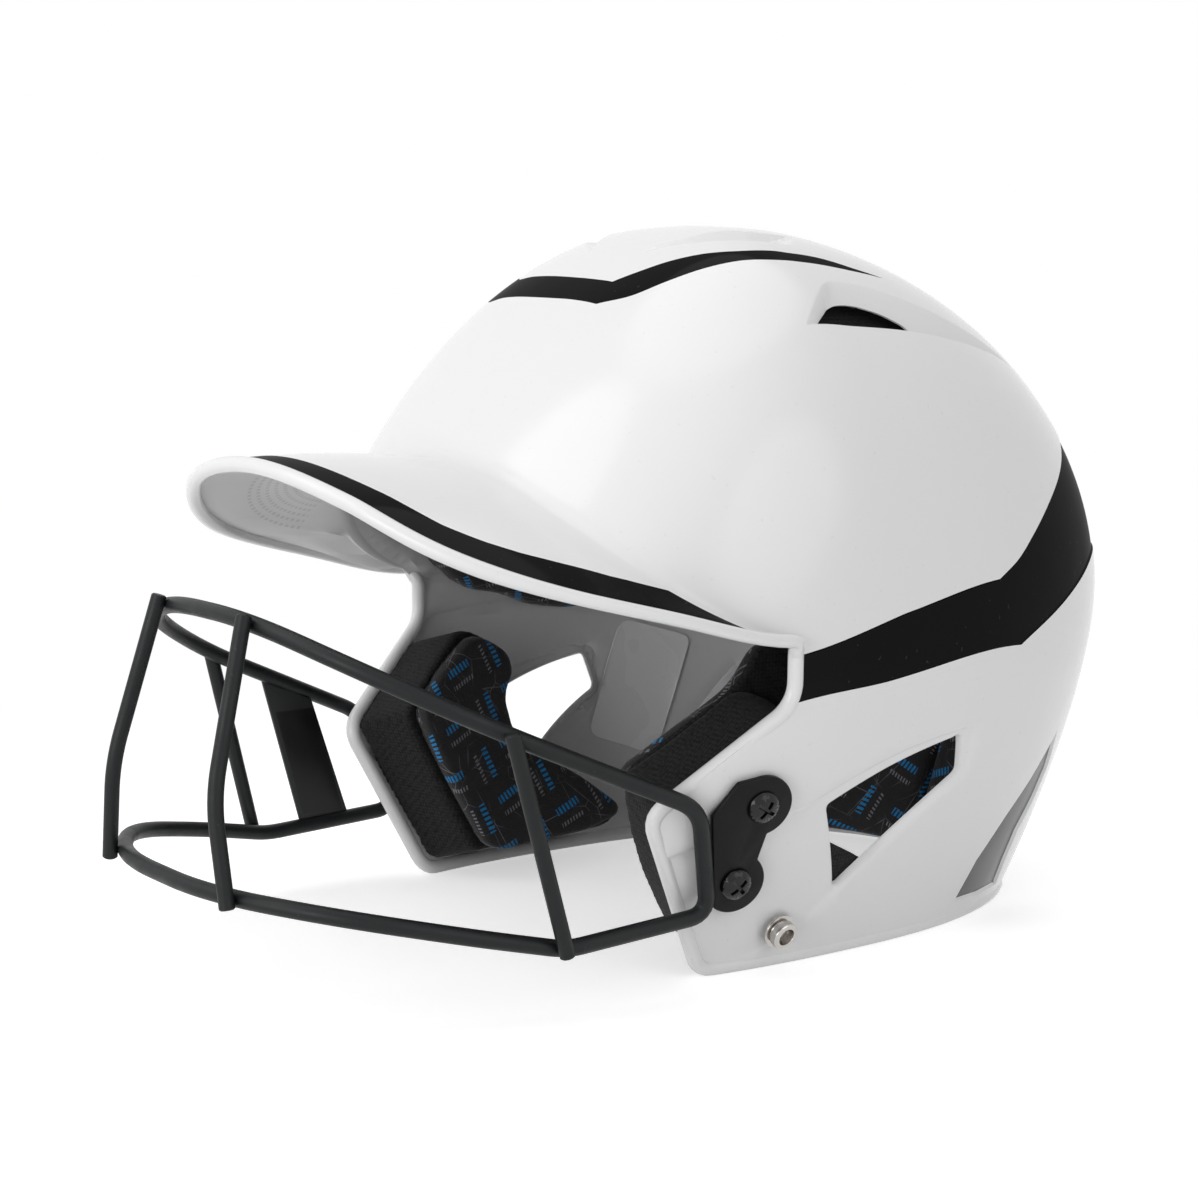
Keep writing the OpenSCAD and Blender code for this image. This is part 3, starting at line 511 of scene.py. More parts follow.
# %% Scoops and grooves
scoop_lip = [(-56, 25.5), (-54, 46), (-53, 68), (-52.8, 90), (-55.5, 122)]
scoop_top = [(-55.5, 122), (-60, 101), (-63.8, 84.5), (-68.5, 68), (-72, 55), (-73.5, 45)]
scoop_end = [(-73.5, 45), (-65, 34), (-56, 25.5)]
scoop_hole = [(-56.3, 30.3), (-55.2, 39.3), (-54.4, 49), (-53.8, 66), (-54.4, 73), (-58, 71), (-61.3, 64.8),
              (-63.9, 57.7), (-65.7, 50.3), (-65.7, 43.3), (-62.9, 38.6), (-56.3, 30.3)]
groove_lip = [(14, 12.5), (19.5, 17), (29.8, 23), (38, 31.3), (43, 41.3), (45.1, 46.7)]
groove_end = [(45.1, 46.7), (35.7, 55.2)]
groove_top = [(35.7, 55.2), (33.2, 46), (27.9, 34.5), (20.5, 22), (14, 12.5)]


def chained(carry, *edges):
    """The edges as smooth chart lines, and the closed loop they make"""
    lines = [flowing(carry(edge), 1.2) for edge in edges]
    return lines, np.concatenate([line[:-1] for line in lines])


scoop_edges, scoop_loop = chained(from_leaning, scoop_lip, scoop_top, scoop_end)
hole_loop = flowing(from_leaning(scoop_hole), 1.0, corners=(4,))[:-1]
groove_edges, groove_loop = chained(from_top, groove_lip, groove_end, groove_top)
print("scoop:", len(scoop_loop), "points, hole:", len(hole_loop), "groove:", len(groove_loop))

# %% [markdown]
# ## Depths on the shell
# Each point of the sheet sinks under the plain dome by a depth: a rounded edge round the ear opening,
# a soft valley about it, small steps at the painted bands, the scoops and the grooves. Sculpting by
# hand could make such dips too, but a depth keeps their edges exactly where the outlines are.

# %% Forms of a dip
def eased(d, r=0.25):
    return np.sqrt(d * d + r * r) - r


def lesser(a, b, blend_over=0.7):
    """The smaller of two depths, with the crease between them rounded"""
    h = np.clip(0.5 + 0.5 * (b - a) / blend_over, 0, 1)
    return a * h + b * (1 - h) - blend_over * h * (1 - h)


def trough(points, edges, falls, deepest):
    """Depth under the outer face between three edges, each with its own fall, the lip's first"""
    lip, second, third = (fall * distance(edge, points, False) for edge, fall in zip(edges, falls))
    return eased(np.maximum(lesser(lesser(lesser(second, third), deepest), lip), 0))


def step_in(points, q, loop, depth, width):
    t = np.where(inside(loop, q), np.clip(distance(off_chart(loop), points) / width, 0, 1), 0)
    return depth * t * t * (3 - 2 * t)


print("a dip of 3 mm with its edge eased:", round(float(eased(3.0)), 2))

# %% Depth of the shell's features
EAR_ROUND, EAR_ROUND_MORE = 1.2, 0.8
VALLEY_STEP, NAPE_STEP, BAND_STEP = (1.1, 2.0), (0.9, 0.7), (0.45, 0.5)
SCOOP_FALLS, SCOOP_DEEP = (7.0, 0.5, 0.9), 8.5
GROOVE_FALLS, GROOVE_DEEP = (0.9, 0.36, 1.4), 3.2
troughs = ((scoop_loop, scoop_edges, SCOOP_FALLS, SCOOP_DEEP),
           (groove_loop, groove_edges, GROOVE_FALLS, GROOVE_DEEP))


def depth_of(q):
    points = off_chart(q)
    total = np.zeros(len(q))
    for hand, loop in zip((1, -1), both(ear_loop)):
        d = distance(off_chart(loop), points)
        far_side = off_chart(from_side(ear_far_side) * [hand, 1])
        r = EAR_ROUND + EAR_ROUND_MORE * np.clip(1 - (distance(far_side, points, False) - d) / 3, 0, 1)
        near = np.clip((r - d) / r, 0, 1)
        total += np.where(inside(loop, q), r, r * (1 - np.sqrt(1 - near * near)))
    for outline, step in ((valley_loop, VALLEY_STEP), (nape_loop, NAPE_STEP)):
        for loop in both(outline):
            total += step_in(points, q, loop, *step)
    total += step_in(points, q, band_loop, *BAND_STEP)
    for hand in (1, -1):
        for loop, edges, falls, deepest in troughs:
            hit = np.flatnonzero(inside(loop * [hand, 1], q))
            if len(hit):
                lines = [off_chart(edge * [hand, 1]) for edge in edges]
                total[hit] += trough(points[hit], lines, falls, deepest)
    return total


print("depth in the middle of a scoop:", depth_of(from_leaning([(-60, 50)])).round(2))

# %% [markdown]
# ## The brim
# The brim leaves the forehead in a soft crease and ends in the rounded edge. It is a fan of rows from
# the dome to the edge. The first rows bend out of the dome's own direction, so that the gloss runs on
# without a break, and the last rows are painted.

# %% Brim edge and crease
BRIM_END, BRIM_COLUMNS = 87.6, 161
BRIM_HALF, BRIM_FRONT, BRIM_MID_Y, BRIM_TOP = 103.3, 126.6, 11.1, 149.5
CREASE_HALF, CREASE_TOP = 100.0, 148.0
EDGE_HIGH = 1.5
t = np.linspace(-1, 1, BRIM_COLUMNS)
turn = np.radians(BRIM_END) * (0.55 * t + 0.45 * t ** 3)
share = np.abs(np.sin(turn)) ** (2 / 2.6)
brim_z = (BRIM_TOP - 48.4 * (0.845 * share ** 2 + 0.155 * share ** 50)
          - 1.6 * np.clip(1 - ((share - 0.68) / 0.25) ** 2, 0, 1) ** 2)
brim_edge = np.stack([np.sign(turn) * BRIM_HALF * share, BRIM_MID_Y - BRIM_FRONT * np.cos(turn) ** (2 / 2.6),
                      brim_z], axis=1)
edge_top = brim_edge + [0, 0, EDGE_HIGH]

crease_x = np.sign(turn) * CREASE_HALF * share
crease_z = CREASE_TOP - 46.5 * (0.75 * share ** 2 + 0.25 * share ** 6)
lift = 1.3 + 3.2 * (1 - share ** 4)
root_chart = from_front(np.stack([crease_x, crease_z + lift], axis=1))
root = off_chart(root_chart)
print("brim reaches", round(float(brim_edge[:, 1].min()), 1), "and ends at", round(float(brim_edge[0, 2]), 1))

# %% Brim rows
CREASE_ROWS, PAINT_ROWS = 8, (11, 14)
STRIPE_IN = 1.2
stripe_w = np.interp(share, [0, 0.60, 0.68, 0.74, 0.79, 0.84, 0.865, 0.89],
                     [10.5, 11.2, 13.0, 15.4, 19.0, 23.5, 29, 60])


def brim_rows():
    low = np.stack([crease_x, front_y(crease_x, crease_z + lift - 1), crease_z + lift - 1], axis=1)
    away = (low - root) / np.linalg.norm(low - root, axis=1)[:, None]
    knee = root + away * lift[:, None]
    out = edge_top - knee
    width = np.linalg.norm(out, axis=1)[:, None]
    flat = knee + out / width * np.minimum(lift[:, None] * 1.1, width * 0.45)
    rows = [(1 - t) ** 2 * root + 2 * t * (1 - t) * knee + t * t * flat
            for t in np.linspace(0, 1, CREASE_ROWS)]
    run = edge_top - flat
    length = np.linalg.norm(run, axis=1)[:, None]
    paint = np.maximum(1 - stripe_w[:, None] / length, 0.02)
    paint_run = (1 - STRIPE_IN / length - paint).clip(0.01)
    bulge = np.array([0, 0, 1]) * np.minimum(length, 40) * 0.035
    stops = [paint * k for k in (0.25, 0.5, 0.75, 1.0)]
    stops += [paint + paint_run * k for k in (0.33, 0.67, 1.0)] + [1.0]
    return np.array(rows + [flat + run * k + bulge * (4 * k * (1 - k)) for k in stops])


brim = brim_rows()
print("brim rows:", brim.shape)

# %% [markdown]
# ## The shell
# The flat chart is filled with triangles that keep every outline, lifted on to the dome, sunk by the
# depths, joined to the brim, and given its wall by Solidify, which also lays the unpolished inside.
# A primitive could not carry these outlines cleanly, so this one mesh is laid from its points.

# %% Fill the chart
def even_points(step):
    """Chart points that lie about a step apart on the dome"""
    made = []
    for k, s in enumerate(np.arange(0, level_run[-1], step * 0.866)):
        r = math.exp(np.interp(s, level_run, level_log))
        n = max(6, round(2 * math.pi * np.interp(s, level_run, level_r) / step))
        angle = (np.arange(n) + 0.5 * (k % 2)) * 2 * math.pi / n
        made.append(np.stack([r * np.cos(angle), r * np.sin(angle)], axis=1))
    return np.concatenate(made)


def fill_chart(lines, fillings):
    """Triangles between closed lines, with filling points that keep off the lines by their own room"""
    fixed = np.concatenate(lines)
    links, start = [], 0
    for line in lines:
        links += [(start + i, start + (i + 1) % len(line)) for i in range(len(line))]
        start += len(line)
    dense = np.concatenate([fixed] + [line + k * (np.roll(line, -1, axis=0) - line)
                                      for line in lines for k in (0.25, 0.5, 0.75)])
    tree = kdtree.KDTree(len(dense))
    for i, p in enumerate(off_chart(dense)):
        tree.insert(p, i)
    tree.balance()
    kept = [q for points, room in fillings
            for q, p in zip(points, off_chart(points)) if tree.find(p)[2] > room]
    everything = [Vector(q) for q in fixed] + [Vector(q) for q in kept]
    verts, _, faces, *_ = geometry.delaunay_2d_cdt(everything, links, [], 0, 1e-7)
    return np.array([tuple(v) for v in verts]), np.array(faces)


left_flap = straight(from_side(flap_line), 1.6, closed=False)
toe = left_flap[-1]
toe_angle = math.atan2(toe[1], toe[0])
low_angle = np.linspace(toe_angle, math.pi - toe_angle, 110)[1:-1]
low_rim = np.linalg.norm(toe) * np.stack([np.cos(low_angle), np.sin(low_angle)], axis=1)
border = np.concatenate([left_flap, low_rim, mirrored(left_flap), root_chart])

lines = [border]
for side in (lambda q: q, mirrored):
    ear = side(ear_loop)
    lines += [ear] + [shifted(ear, d) for d in (0.3, 0.8, 1.5, 3.2)]
    lines += [side(shifted(valley_loop, d)) for d in (0, -1.0, -2.0)]
    lines += [side(shifted(nape_loop, d)) for d in (0, -0.7)]
    lines += [side(shifted(scoop_loop, d)) for d in (0.5, 0, -0.3, -0.9)] + [side(hole_loop)]
    lines += [side(shifted(groove_loop, d)) for d in (0.5, 0, -0.4)]
lines += [shifted(band_loop, d) for d in (0.5, 0, -0.5)] + [stripe_loop]
print("border:", len(border), "points, lines:", len(lines))

# %% Triangles that are kept
fine, finer = even_points(1.2), even_points(0.75)
in_scoops = inside(scoop_loop, fine) | inside(mirrored(scoop_loop), fine)
in_grooves = inside(groove_loop, finer) | inside(mirrored(groove_loop), finer)
chart_points, triangles = fill_chart(lines, [(finer[in_grooves], 0.4), (fine[in_scoops], 0.55),
                                             (even_points(3.0), 1.3)])
middle = chart_points[triangles].mean(axis=1)
keep = inside(border, middle)
for hole in both(ear_loop) + both(hole_loop):
    keep &= ~inside(hole, middle)
triangles, middle = triangles[keep], middle[keep]
print("chart filled:", len(chart_points), "points,", len(triangles), "triangles")

# %% Lift the chart and add the brim
WHITE, BLACK, GREY = range(3)


def face_normals(q):
    """Outward direction of the dome, from small steps along and across the chart"""
    step = 1e-4 * np.maximum(np.hypot(q[:, 0], q[:, 1]), 1e-6)[:, None]
    across = off_chart(q + step * [1, 0]) - off_chart(q - step * [1, 0])
    along = off_chart(q + step * [0, 1]) - off_chart(q - step * [0, 1])
    n = np.cross(across, along)
    return n / np.maximum(np.linalg.norm(n, axis=1), 1e-12)[:, None]


dome_points = off_chart(chart_points) - face_normals(chart_points) * depth_of(chart_points)[:, None]
painted = inside(band_loop, middle) | inside(stripe_loop, middle)
nape_floor = shifted(nape_loop, -0.72)
nape = inside(nape_floor, middle) | inside(mirrored(nape_floor), middle)
shell_faces = [tuple(t) for t in triangles]
shell_finish = list(np.where(painted, BLACK, np.where(nape, GREY, WHITE)))

first = len(dome_points)
rows, columns = brim.shape[:2]
for i in range(rows - 1):
    for j in range(columns - 1):
        a = first + i * columns + j
        shell_faces.append((a, a + columns, a + columns + 1, a + 1))
        shell_finish.append(BLACK if PAINT_ROWS[0] <= i < PAINT_ROWS[1] else WHITE)
flap_top = [int(np.argmin(np.linalg.norm(chart_points - q, axis=1)))
            for q in (mirrored(left_flap)[-1], left_flap[0])]
for i in range(rows - 1):
    a, b = first + i * columns, first + i * columns + columns - 1
    shell_faces += [(flap_top[0], a + columns, a), (flap_top[1], b, b + columns)]
    shell_finish += [WHITE, WHITE]
print("shell sheet:", len(shell_faces), "faces")

# %% Helpers for a mesh
def choose(piece, mode=None):
    if bpy.context.object and bpy.context.object.mode != "OBJECT":
        bpy.ops.object.mode_set(mode="OBJECT")
    bpy.ops.object.select_all(action="DESELECT")
    piece.select_set(True)
    bpy.context.view_layer.objects.active = piece
    if mode:
        bpy.ops.object.mode_set(mode=mode)


def lay_mesh(name, points, faces):
    mesh = bpy.data.meshes.new(name)
    mesh.from_pydata([tuple(p) for p in to_part(points)], [], [tuple(f) for f in faces])
    piece = bpy.data.objects.new(name, mesh)
    scene.collection.objects.link(piece)
    return piece


def finish_with(piece, kind, **settings):
    """A modifier put on and applied"""
    choose(piece)
    modifier = piece.modifiers.new(kind.lower(), kind)
    for name, value in settings.items():
        setattr(modifier, name, value)
    bpy.ops.object.modifier_apply(modifier=modifier.name)


def face_outwards(piece, merge=None):
    choose(piece, "EDIT")
    bpy.ops.mesh.select_all(action="SELECT")
    if merge:
        bpy.ops.mesh.remove_doubles(threshold=merge)
    bpy.ops.mesh.normals_make_consistent(inside=False)
    bpy.ops.object.mode_set(mode="OBJECT")


def smooth(piece, degrees=40):
    choose(piece)
    bpy.ops.object.shade_smooth_by_angle(angle=math.radians(degrees))


def stand_in(piece, node):
    """The piece rides where the CAD node does, and hides it"""
    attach(piece, "root")
    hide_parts(node)

# %% Wall of the shell
CROWN_AREA, CROWN_FADE = 27, 12
shell_skin = lay_mesh("helmet_shell", np.concatenate([dome_points, brim.reshape(-1, 3)]), shell_faces)
for material in (white_gloss, band_black, nape_grey, inside_matte):
    shell_skin.data.materials.append(material)
shell_skin.data.polygons.foreach_set("material_index", shell_finish)
choose(shell_skin, "EDIT")
bpy.ops.mesh.select_all(action="SELECT")
bpy.ops.mesh.remove_doubles(threshold=0.00002)
bpy.ops.mesh.delete_loose(use_verts=True, use_edges=True, use_faces=False)
bpy.ops.mesh.select_all(action="DESELECT")
bpy.ops.object.mode_set(mode="OBJECT")

# The chart's middle is a pole on the crown, so the points about it are evened out
crown = shell_skin.vertex_groups.new(name="crown")
for vertex in shell_skin.data.vertices:
    away = math.hypot(vertex.co.x, vertex.co.y - (MID_Y + Y_SHIFT) * 0.001) * 1000
    if vertex.co.z > 0.17 and away < CROWN_AREA:
        crown.add([vertex.index], min(1.0, (CROWN_AREA - away) / CROWN_FADE), "REPLACE")
finish_with(shell_skin, "SMOOTH", factor=0.5, iterations=60, vertex_group="crown")
finish_with(shell_skin, "SOLIDIFY", thickness=WALL * 0.001, offset=-1, use_even_offset=True,
            thickness_clamp=1.2, material_offset=5)
print("shell:", len(shell_skin.data.polygons), "faces")

# %% [markdown]
# ## The rounded edge
# The moulding ends in a round bead along the brim, down both flaps and round the neck. A closed curve
# with a round bevel follows that edge, is turned into a mesh and joined to the shell.

# %% Edge bead
def wire(name, points, radius, closed=False, sides=7, swell=None):
    """Round rod along a line, in millimetres. swell gives it a radius of its own at each point"""
    curve = bpy.data.curves.new(name, "CURVE")
    curve.dimensions = "3D"
    spline = curve.splines.new("POLY")
    points = to_part(points)
    spline.points.add(len(points) - 1)
    for i, (target, point) in enumerate(zip(spline.points, points)):
        target.co = (*point, 1)
        target.radius = 1.0 if swell is None else swell[i]
    spline.use_cyclic_u = closed
    curve.bevel_depth = radius * 0.001
    curve.bevel_resolution = sides
    curve.use_fill_caps = not closed
    piece = bpy.data.objects.new(name, curve)
    scene.collection.objects.link(piece)
    choose(piece)
    bpy.ops.object.convert(target="MESH")
    piece = bpy.context.object
    face_outwards(piece, merge=1e-6)
    return piece


def spaced(points, step):
    """Closed line with its points a step apart"""
    p = np.concatenate([points, points[:1]])
    s = np.concatenate([[0], np.cumsum(np.linalg.norm(np.diff(p, axis=0), axis=1))])
    at = np.linspace(0, s[-1], max(2, round(s[-1] / step)) + 1)
    return np.stack([np.interp(at, s, p[:, i]) for i in range(3)], axis=1)[:-1]


flap_edge = np.column_stack([side_x(flap_line[:, 0], flap_line[:, 1], WALL / 2), flap_line])
low_edge = dome(low_angle, np.full(len(low_angle), BEAD_Z), WALL / 2)
bead_path = spaced(np.concatenate([brim_edge, flap_edge, low_edge, (flap_edge * [-1, 1, 1])[::-1]]), 1.8)
slim = np.clip((np.abs(bead_path[:, 0]) - 78) / 14, 0, 1) * (bead_path[:, 2] > 99)
bead = wire("edge_bead", bead_path, BEAD_R, closed=True, sides=5, swell=1 - 0.16 * slim)
for vertex in bead.data.vertices:
    vertex.co.z = max(vertex.co.z, 0.0)
bead.data.materials.append(white_gloss)
choose(bead)
shell_skin.select_set(True)
bpy.context.view_layer.objects.active = shell_skin
bpy.ops.object.join()
smooth(shell_skin, 32)
stand_in(shell_skin, "shell")
print("shell with bead:", len(shell_skin.data.polygons), "faces")

# %% [markdown]
# ## Materials of the mask and its hardware
# The wire is dipped in a satin black coating, which runs a little thick and dull. The bracket plates
# are smoother, the screws are gloss black, and the snap studs are bright nickel.

# %% Mask and hardware materials
def coated(name, colour, roughness, extra, grain_height, level):
    dusty = tuple(c * 2.2 for c in colour[:3]) + (1,)
    return plastic(name, colour, dusty, roughness, extra, 120.0, 0.00015, grain_height, level=level)


wire_black = coated("wire_black", (0.0085, 0.0098, 0.0105, 1), 0.40, 0.14, 0.00003, 0.26)
bracket_black = coated("bracket_black", (0.0045, 0.0045, 0.005, 1), 0.30, 0.10, 0.00002, 0.16)
screw_black = coated("screw_black", (0.005, 0.005, 0.006, 1), 0.12, 0.08, 0.0, 0.35)


def metal(name, colour, roughness, extra):
    material, tree, shader = new_material(name, {"Metallic": 1.0})
    look = place_group(tree, finish_group, {"Waves": 300.0, "Wave Height": 0.00004, "Grain Height": 0.000006})
    darker = tuple(c * 0.9 for c in colour[:3]) + (1,)
    connect(tree, shader, {
        "Base Color": blend(tree, look["Mottle"], colour, darker),
        "Roughness": span(tree, look["Mottle"], 0.3, 0.7, roughness, roughness + extra),
        "Normal": look["Normal"]})
    return material


nickel = metal("nickel", (0.52, 0.50, 0.475, 1), 0.13, 0.10)
zinc = metal("zinc", (0.55, 0.56, 0.58, 1), 0.35, 0.15)
print("coatings and metals made")

# %% [markdown]
# ## The bent wire loop
# One closed wire makes the mask's outline. It is drawn the same way as the bead: straight runs with
# bends between them, through the points of the CAD model but one: its upper corner at the bracket is
# 2 mm farther forward, as in the photograph.

# %% Mask loop
BRACKET_MID = np.array([float(side_x(-7.3, 42.6)), -7.3, 42.6])
up_dir = unit([0.302, 0.153, 0.941])
out_dir = unit(np.cross(up_dir, np.cross([0.941, -0.19, -0.28], up_dir)))
ahead_dir = np.cross(out_dir, up_dir)


def on_bracket(u, v, n):
    """u ahead, v up along the plate and n out of it"""
    return BRACKET_MID + u * ahead_dir + v * up_dir + n * out_dir


LOOP_R, RAIL_FRONT, BEND_STEPS = 2.45, 145.3, 10
half_corners = [(-24, -129.8, 109.3), (24, -129.8, 109.3), (62, -117, 99), (82.5, -88, 83),
                on_bracket(20.4, 9.6, 2.7), on_bracket(6.2, -22.2, 3.0), (85.4, -66.5, 20.0),
                (80.3, -90, 25.5), (65, -125, 33.5), (27, -RAIL_FRONT, 35.5), (-27, -RAIL_FRONT, 35.5)]
bend_sizes = [20, 19, 18, 7, 7, 5, 13, 19, 21]
half_loop = np.concatenate([bend(*half_corners[i:i + 3], size, BEND_STEPS)
                            for i, size in enumerate(bend_sizes)])
loop_path = np.concatenate([half_loop, (half_loop * [-1, 1, 1])[::-1]])
mask_wire = wire("mask_wire", spaced(loop_path, 1.5), LOOP_R, closed=True)
mask_wire.data.materials.append(wire_black)
smooth(mask_wire)
stand_in(mask_wire, "mask_loop")
print("loop front:", round(float(loop_path[:, 1].min()), 1))

# %% [markdown]
# ## The four bars
# Two bars cross the front and two the sides. Each is welded outside the rails and bites a hair into
# their wire. The front bars have one soft bend, and all are cut off just past the rails, with broken
# edges.

# %% Bars
BAR_R, BITE, OVER, EDGE_BREAK = 2.25, 0.12, 1.6, 0.4
RAIL_STEP = 2.0
POINTS_A_BEND = BEND_STEPS + 1
upper_run, lower_run = half_loop[:3 * POINTS_A_BEND], half_loop[5 * POINTS_A_BEND:]
front_run = lower_run[POINTS_A_BEND:]


def on_rail(run, axis, value):
    run = run[np.argsort(run[:, axis])]
    return np.array([np.interp(value, run[:, axis], run[:, k]) for k in range(3)])


def beside(run, axis, value, step, bar_dir, outward):
    """Middle of a bar at its weld, beside the rail where one coordinate has that value"""
    point = on_rail(run, axis, value)
    n = unit(np.cross(on_rail(run, axis, value + step) - point, bar_dir))
    return point + n * np.sign(n @ outward) * (LOOP_R + BAR_R - BITE)


def bar(name, node, corners, hand):
    corners = [np.asarray(c, float) for c in corners]
    for end, mate in ((0, 1), (-1, -2)):
        corners[end] = corners[end] + unit(corners[end] - corners[mate]) * OVER
    bent = list(bend(*corners, 9, 14)) if len(corners) == 3 else []
    line = [corners[0]] + bent + [corners[-1]]
    path = [line[0], line[0] + unit(line[1] - line[0]) * EDGE_BREAK] + bent
    path += [line[-1] + unit(line[-2] - line[-1]) * EDGE_BREAK, line[-1]]
    piece = wire(name, np.array(path) * [hand, 1, 1], BAR_R, swell=[0.8] + [1] * (len(path) - 2) + [0.8])
    piece.data.materials.append(wire_black)
    smooth(piece)
    stand_in(piece, node)


kink = np.array([31.5, -145.1, 62.5])
ahead, outward = np.array([0.2, -1, 0]), np.array([1, 0, 0])
front_high, front_low = 25.1, 35.0
kink_high, kink_low = kink - on_rail(upper_run, 0, front_high), on_rail(front_run, 0, front_low) - kink
front_bar = [beside(upper_run, 0, front_high, RAIL_STEP, kink_high, ahead), kink,
             beside(front_run, 0, front_low, RAIL_STEP, kink_low, ahead)]
side_high, side_low = -83.0, -68.5
side_dir = on_rail(upper_run, 1, side_high) - on_rail(lower_run, 1, side_low)
side_bar = [beside(upper_run, 1, side_high, RAIL_STEP, side_dir, outward),
            beside(lower_run, 1, side_low, -RAIL_STEP, side_dir, outward)]
for side, hand in (("left", 1), ("right", -1)):
    bar("front_wire_" + side, "front_bar_" + side, front_bar, hand)
    bar("side_wire_" + side, "side_bar_" + side, side_bar, hand)
print("bars made")

# %% [markdown]
# ## Hardware with softened edges
# Stamped and turned parts have small rounded edges, which catch the light. Each copy of a CAD node has
# its loose triangles merged and its edges bevelled, and then stands in for the node. The nuts and the
# washers are out of sight inside the flaps, so they keep their CAD meshes and only get their material.

# %% Softened copies of the hard parts
SHARP, SHADED = 35, 32


def softened(node, width, material, segments=2):
    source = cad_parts[node]
    piece = source.copy()
    piece.data = source.data.copy()
    piece.name = node + "_piece"
    piece.parent = None
    scene.collection.objects.link(piece)
    choose(piece, "EDIT")
    bpy.ops.mesh.select_all(action="SELECT")
    bpy.ops.mesh.remove_doubles(threshold=2e-6)
    bpy.ops.mesh.dissolve_limited(angle_limit=math.radians(1.0))
    bpy.ops.mesh.select_all(action="DESELECT")
    bpy.ops.object.mode_set(mode="OBJECT")
    finish_with(piece, "BEVEL", width=width * 0.001, segments=segments, limit_method="ANGLE",
                angle_limit=math.radians(SHARP), use_clamp_overlap=True, harden_normals=False)
    smooth(piece, SHADED)
    piece.data.materials.clear()
    piece.data.materials.append(material)
    stand_in(piece, node)


for side in ("left", "right"):
    softened("bracket_" + side, 0.55, bracket_black, 3)
    softened("upper_screw_" + side, 0.12, screw_black)
    softened("lower_screw_" + side, 0.12, screw_black)
    softened("snap_stud_" + side, 0.15, nickel)
    for node in ("backing_nuts_" + side, "snap_washer_" + side):
        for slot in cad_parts[node].material_slots:
            slot.material = zinc
print("hard parts softened")

# %% [markdown]
# ## The plain plate in the mask
# A flat black plate is held between the rails on the wearer's right. It is bare, with a satin rim and
# a glossier field in the middle, which the material gets from the plate's own height.

# %% Plate
FIELD_LOW, FIELD_HIGH, FIELD_FRONT, FIELD_REAR = 0.0245, 0.0597, -0.0762, -0.0613
FIELD_LEAN, FIELD_MID, FIELD_EDGE = 0.25, 0.0469, 0.0003
plate_gloss, tree, shader = new_material("plate_gloss", {"Specular IOR Level": 0.3})
look = place_group(tree, finish_group, {"Waves": 90.0, "Wave Height": 0.00002, "Grain Height": 0.00001})
_, along, height = put(tree, "SeparateXYZ", {0: place_of(tree)}).outputs
leaning = product(tree, calc(tree, "SUBTRACT", height, FIELD_MID), FIELD_LEAN)
across = calc(tree, "ADD", along, leaning)
field = product(tree, span(tree, height, FIELD_LOW, FIELD_LOW + FIELD_EDGE),
                span(tree, height, FIELD_HIGH, FIELD_HIGH + FIELD_EDGE, 1, 0),
                span(tree, across, FIELD_FRONT, FIELD_FRONT + FIELD_EDGE),
                span(tree, across, FIELD_REAR, FIELD_REAR + FIELD_EDGE, 1, 0))
connect(tree, shader, {
    "Roughness": span(tree, field, 0, 1, 0.50, 0.30), "Normal": look["Normal"],
    "Base Color": blend(tree, field, (0.024, 0.025, 0.026, 1), (0.007, 0.007, 0.008, 1))})
softened("label_plate", 0.3, plate_gloss)

# %% [markdown]
# ## Foam and cover cloth
# The blocks in the flaps are bare open-cell foam: charcoal, with cells of about a millimetre. The pads
# are covered with black cloth printed with a fine pale web and rows of small blue and grey slashes.

# %% Foam material
foam_black, tree, shader = new_material("foam_black", {"Specular IOR Level": 0.2, "Sheen Weight": 0.06})
place = place_of(tree)
cells = put(tree, "TexVoronoi", {"Vector": place, "Scale": 880.0, "Randomness": 0.35}).outputs["Distance"]
spots = put(tree, "TexNoise", {"Vector": place, "Scale": 700.0, "Detail": 3.0}).outputs["Fac"]
pit_depth_and_shade = product(tree, span(tree, cells, 0.15, 0.75), spots)
pitted = put(tree, "Bump", {"Height": pit_depth_and_shade, "Distance": 0.00022, "Strength": 0.8}, invert=True)
# Where the pits sink deepest the colour darkens too: painted shade in the foam's open cells
connect(tree, shader, {
    "Base Color": blend(tree, span(tree, pit_depth_and_shade, 0.1, 0.55),
                        (0.016, 0.016, 0.017, 1), (0.003, 0.003, 0.003, 1)),
    "Roughness": span(tree, pit_depth_and_shade, 0, 1, 0.85, 0.97), "Normal": pitted.outputs["Normal"]})
print("foam material made")

# %% Group for the printed web
SHEET_MM, CELL_MM = 100, 15
web_group, takes, gives = new_group("printed_web", [("Vector", "Vector", None)],
                                    [("Color", "Color"), ("Height", "Float")])
cloth_at = takes["Vector"]


def web(operation, a, b=0.0):
    return calc(web_group, operation, a, b)


def thin_lines(scale, half_width, seed):
    moved = put(web_group, "Mapping", {"Vector": cloth_at, "Location": (seed, seed * 0.7, 0)})
    edges = put(web_group, "TexVoronoi", {"Vector": moved.outputs[0], "Scale": scale},
                feature="DISTANCE_TO_EDGE", voronoi_dimensions="2D")
    return span(web_group, edges.outputs["Distance"], half_width * 0.6, half_width, 1, 0)


broken = put(web_group, "TexNoise", {"Vector": cloth_at, "Scale": 9.0, "Detail": 2.0}).outputs["Fac"]
threads = web("MAXIMUM", thin_lines(10.0, 0.016, 0.3), thin_lines(5.0, 0.010, 1.7))
threads = product(web_group, threads, span(web_group, broken, 0.44, 0.60))
print("web drawn")

# %% [markdown]
# The strokes stand in a turned checkerboard of cells. In every other cell they run the other way, so
# each cell's own run and rise are swapped there.

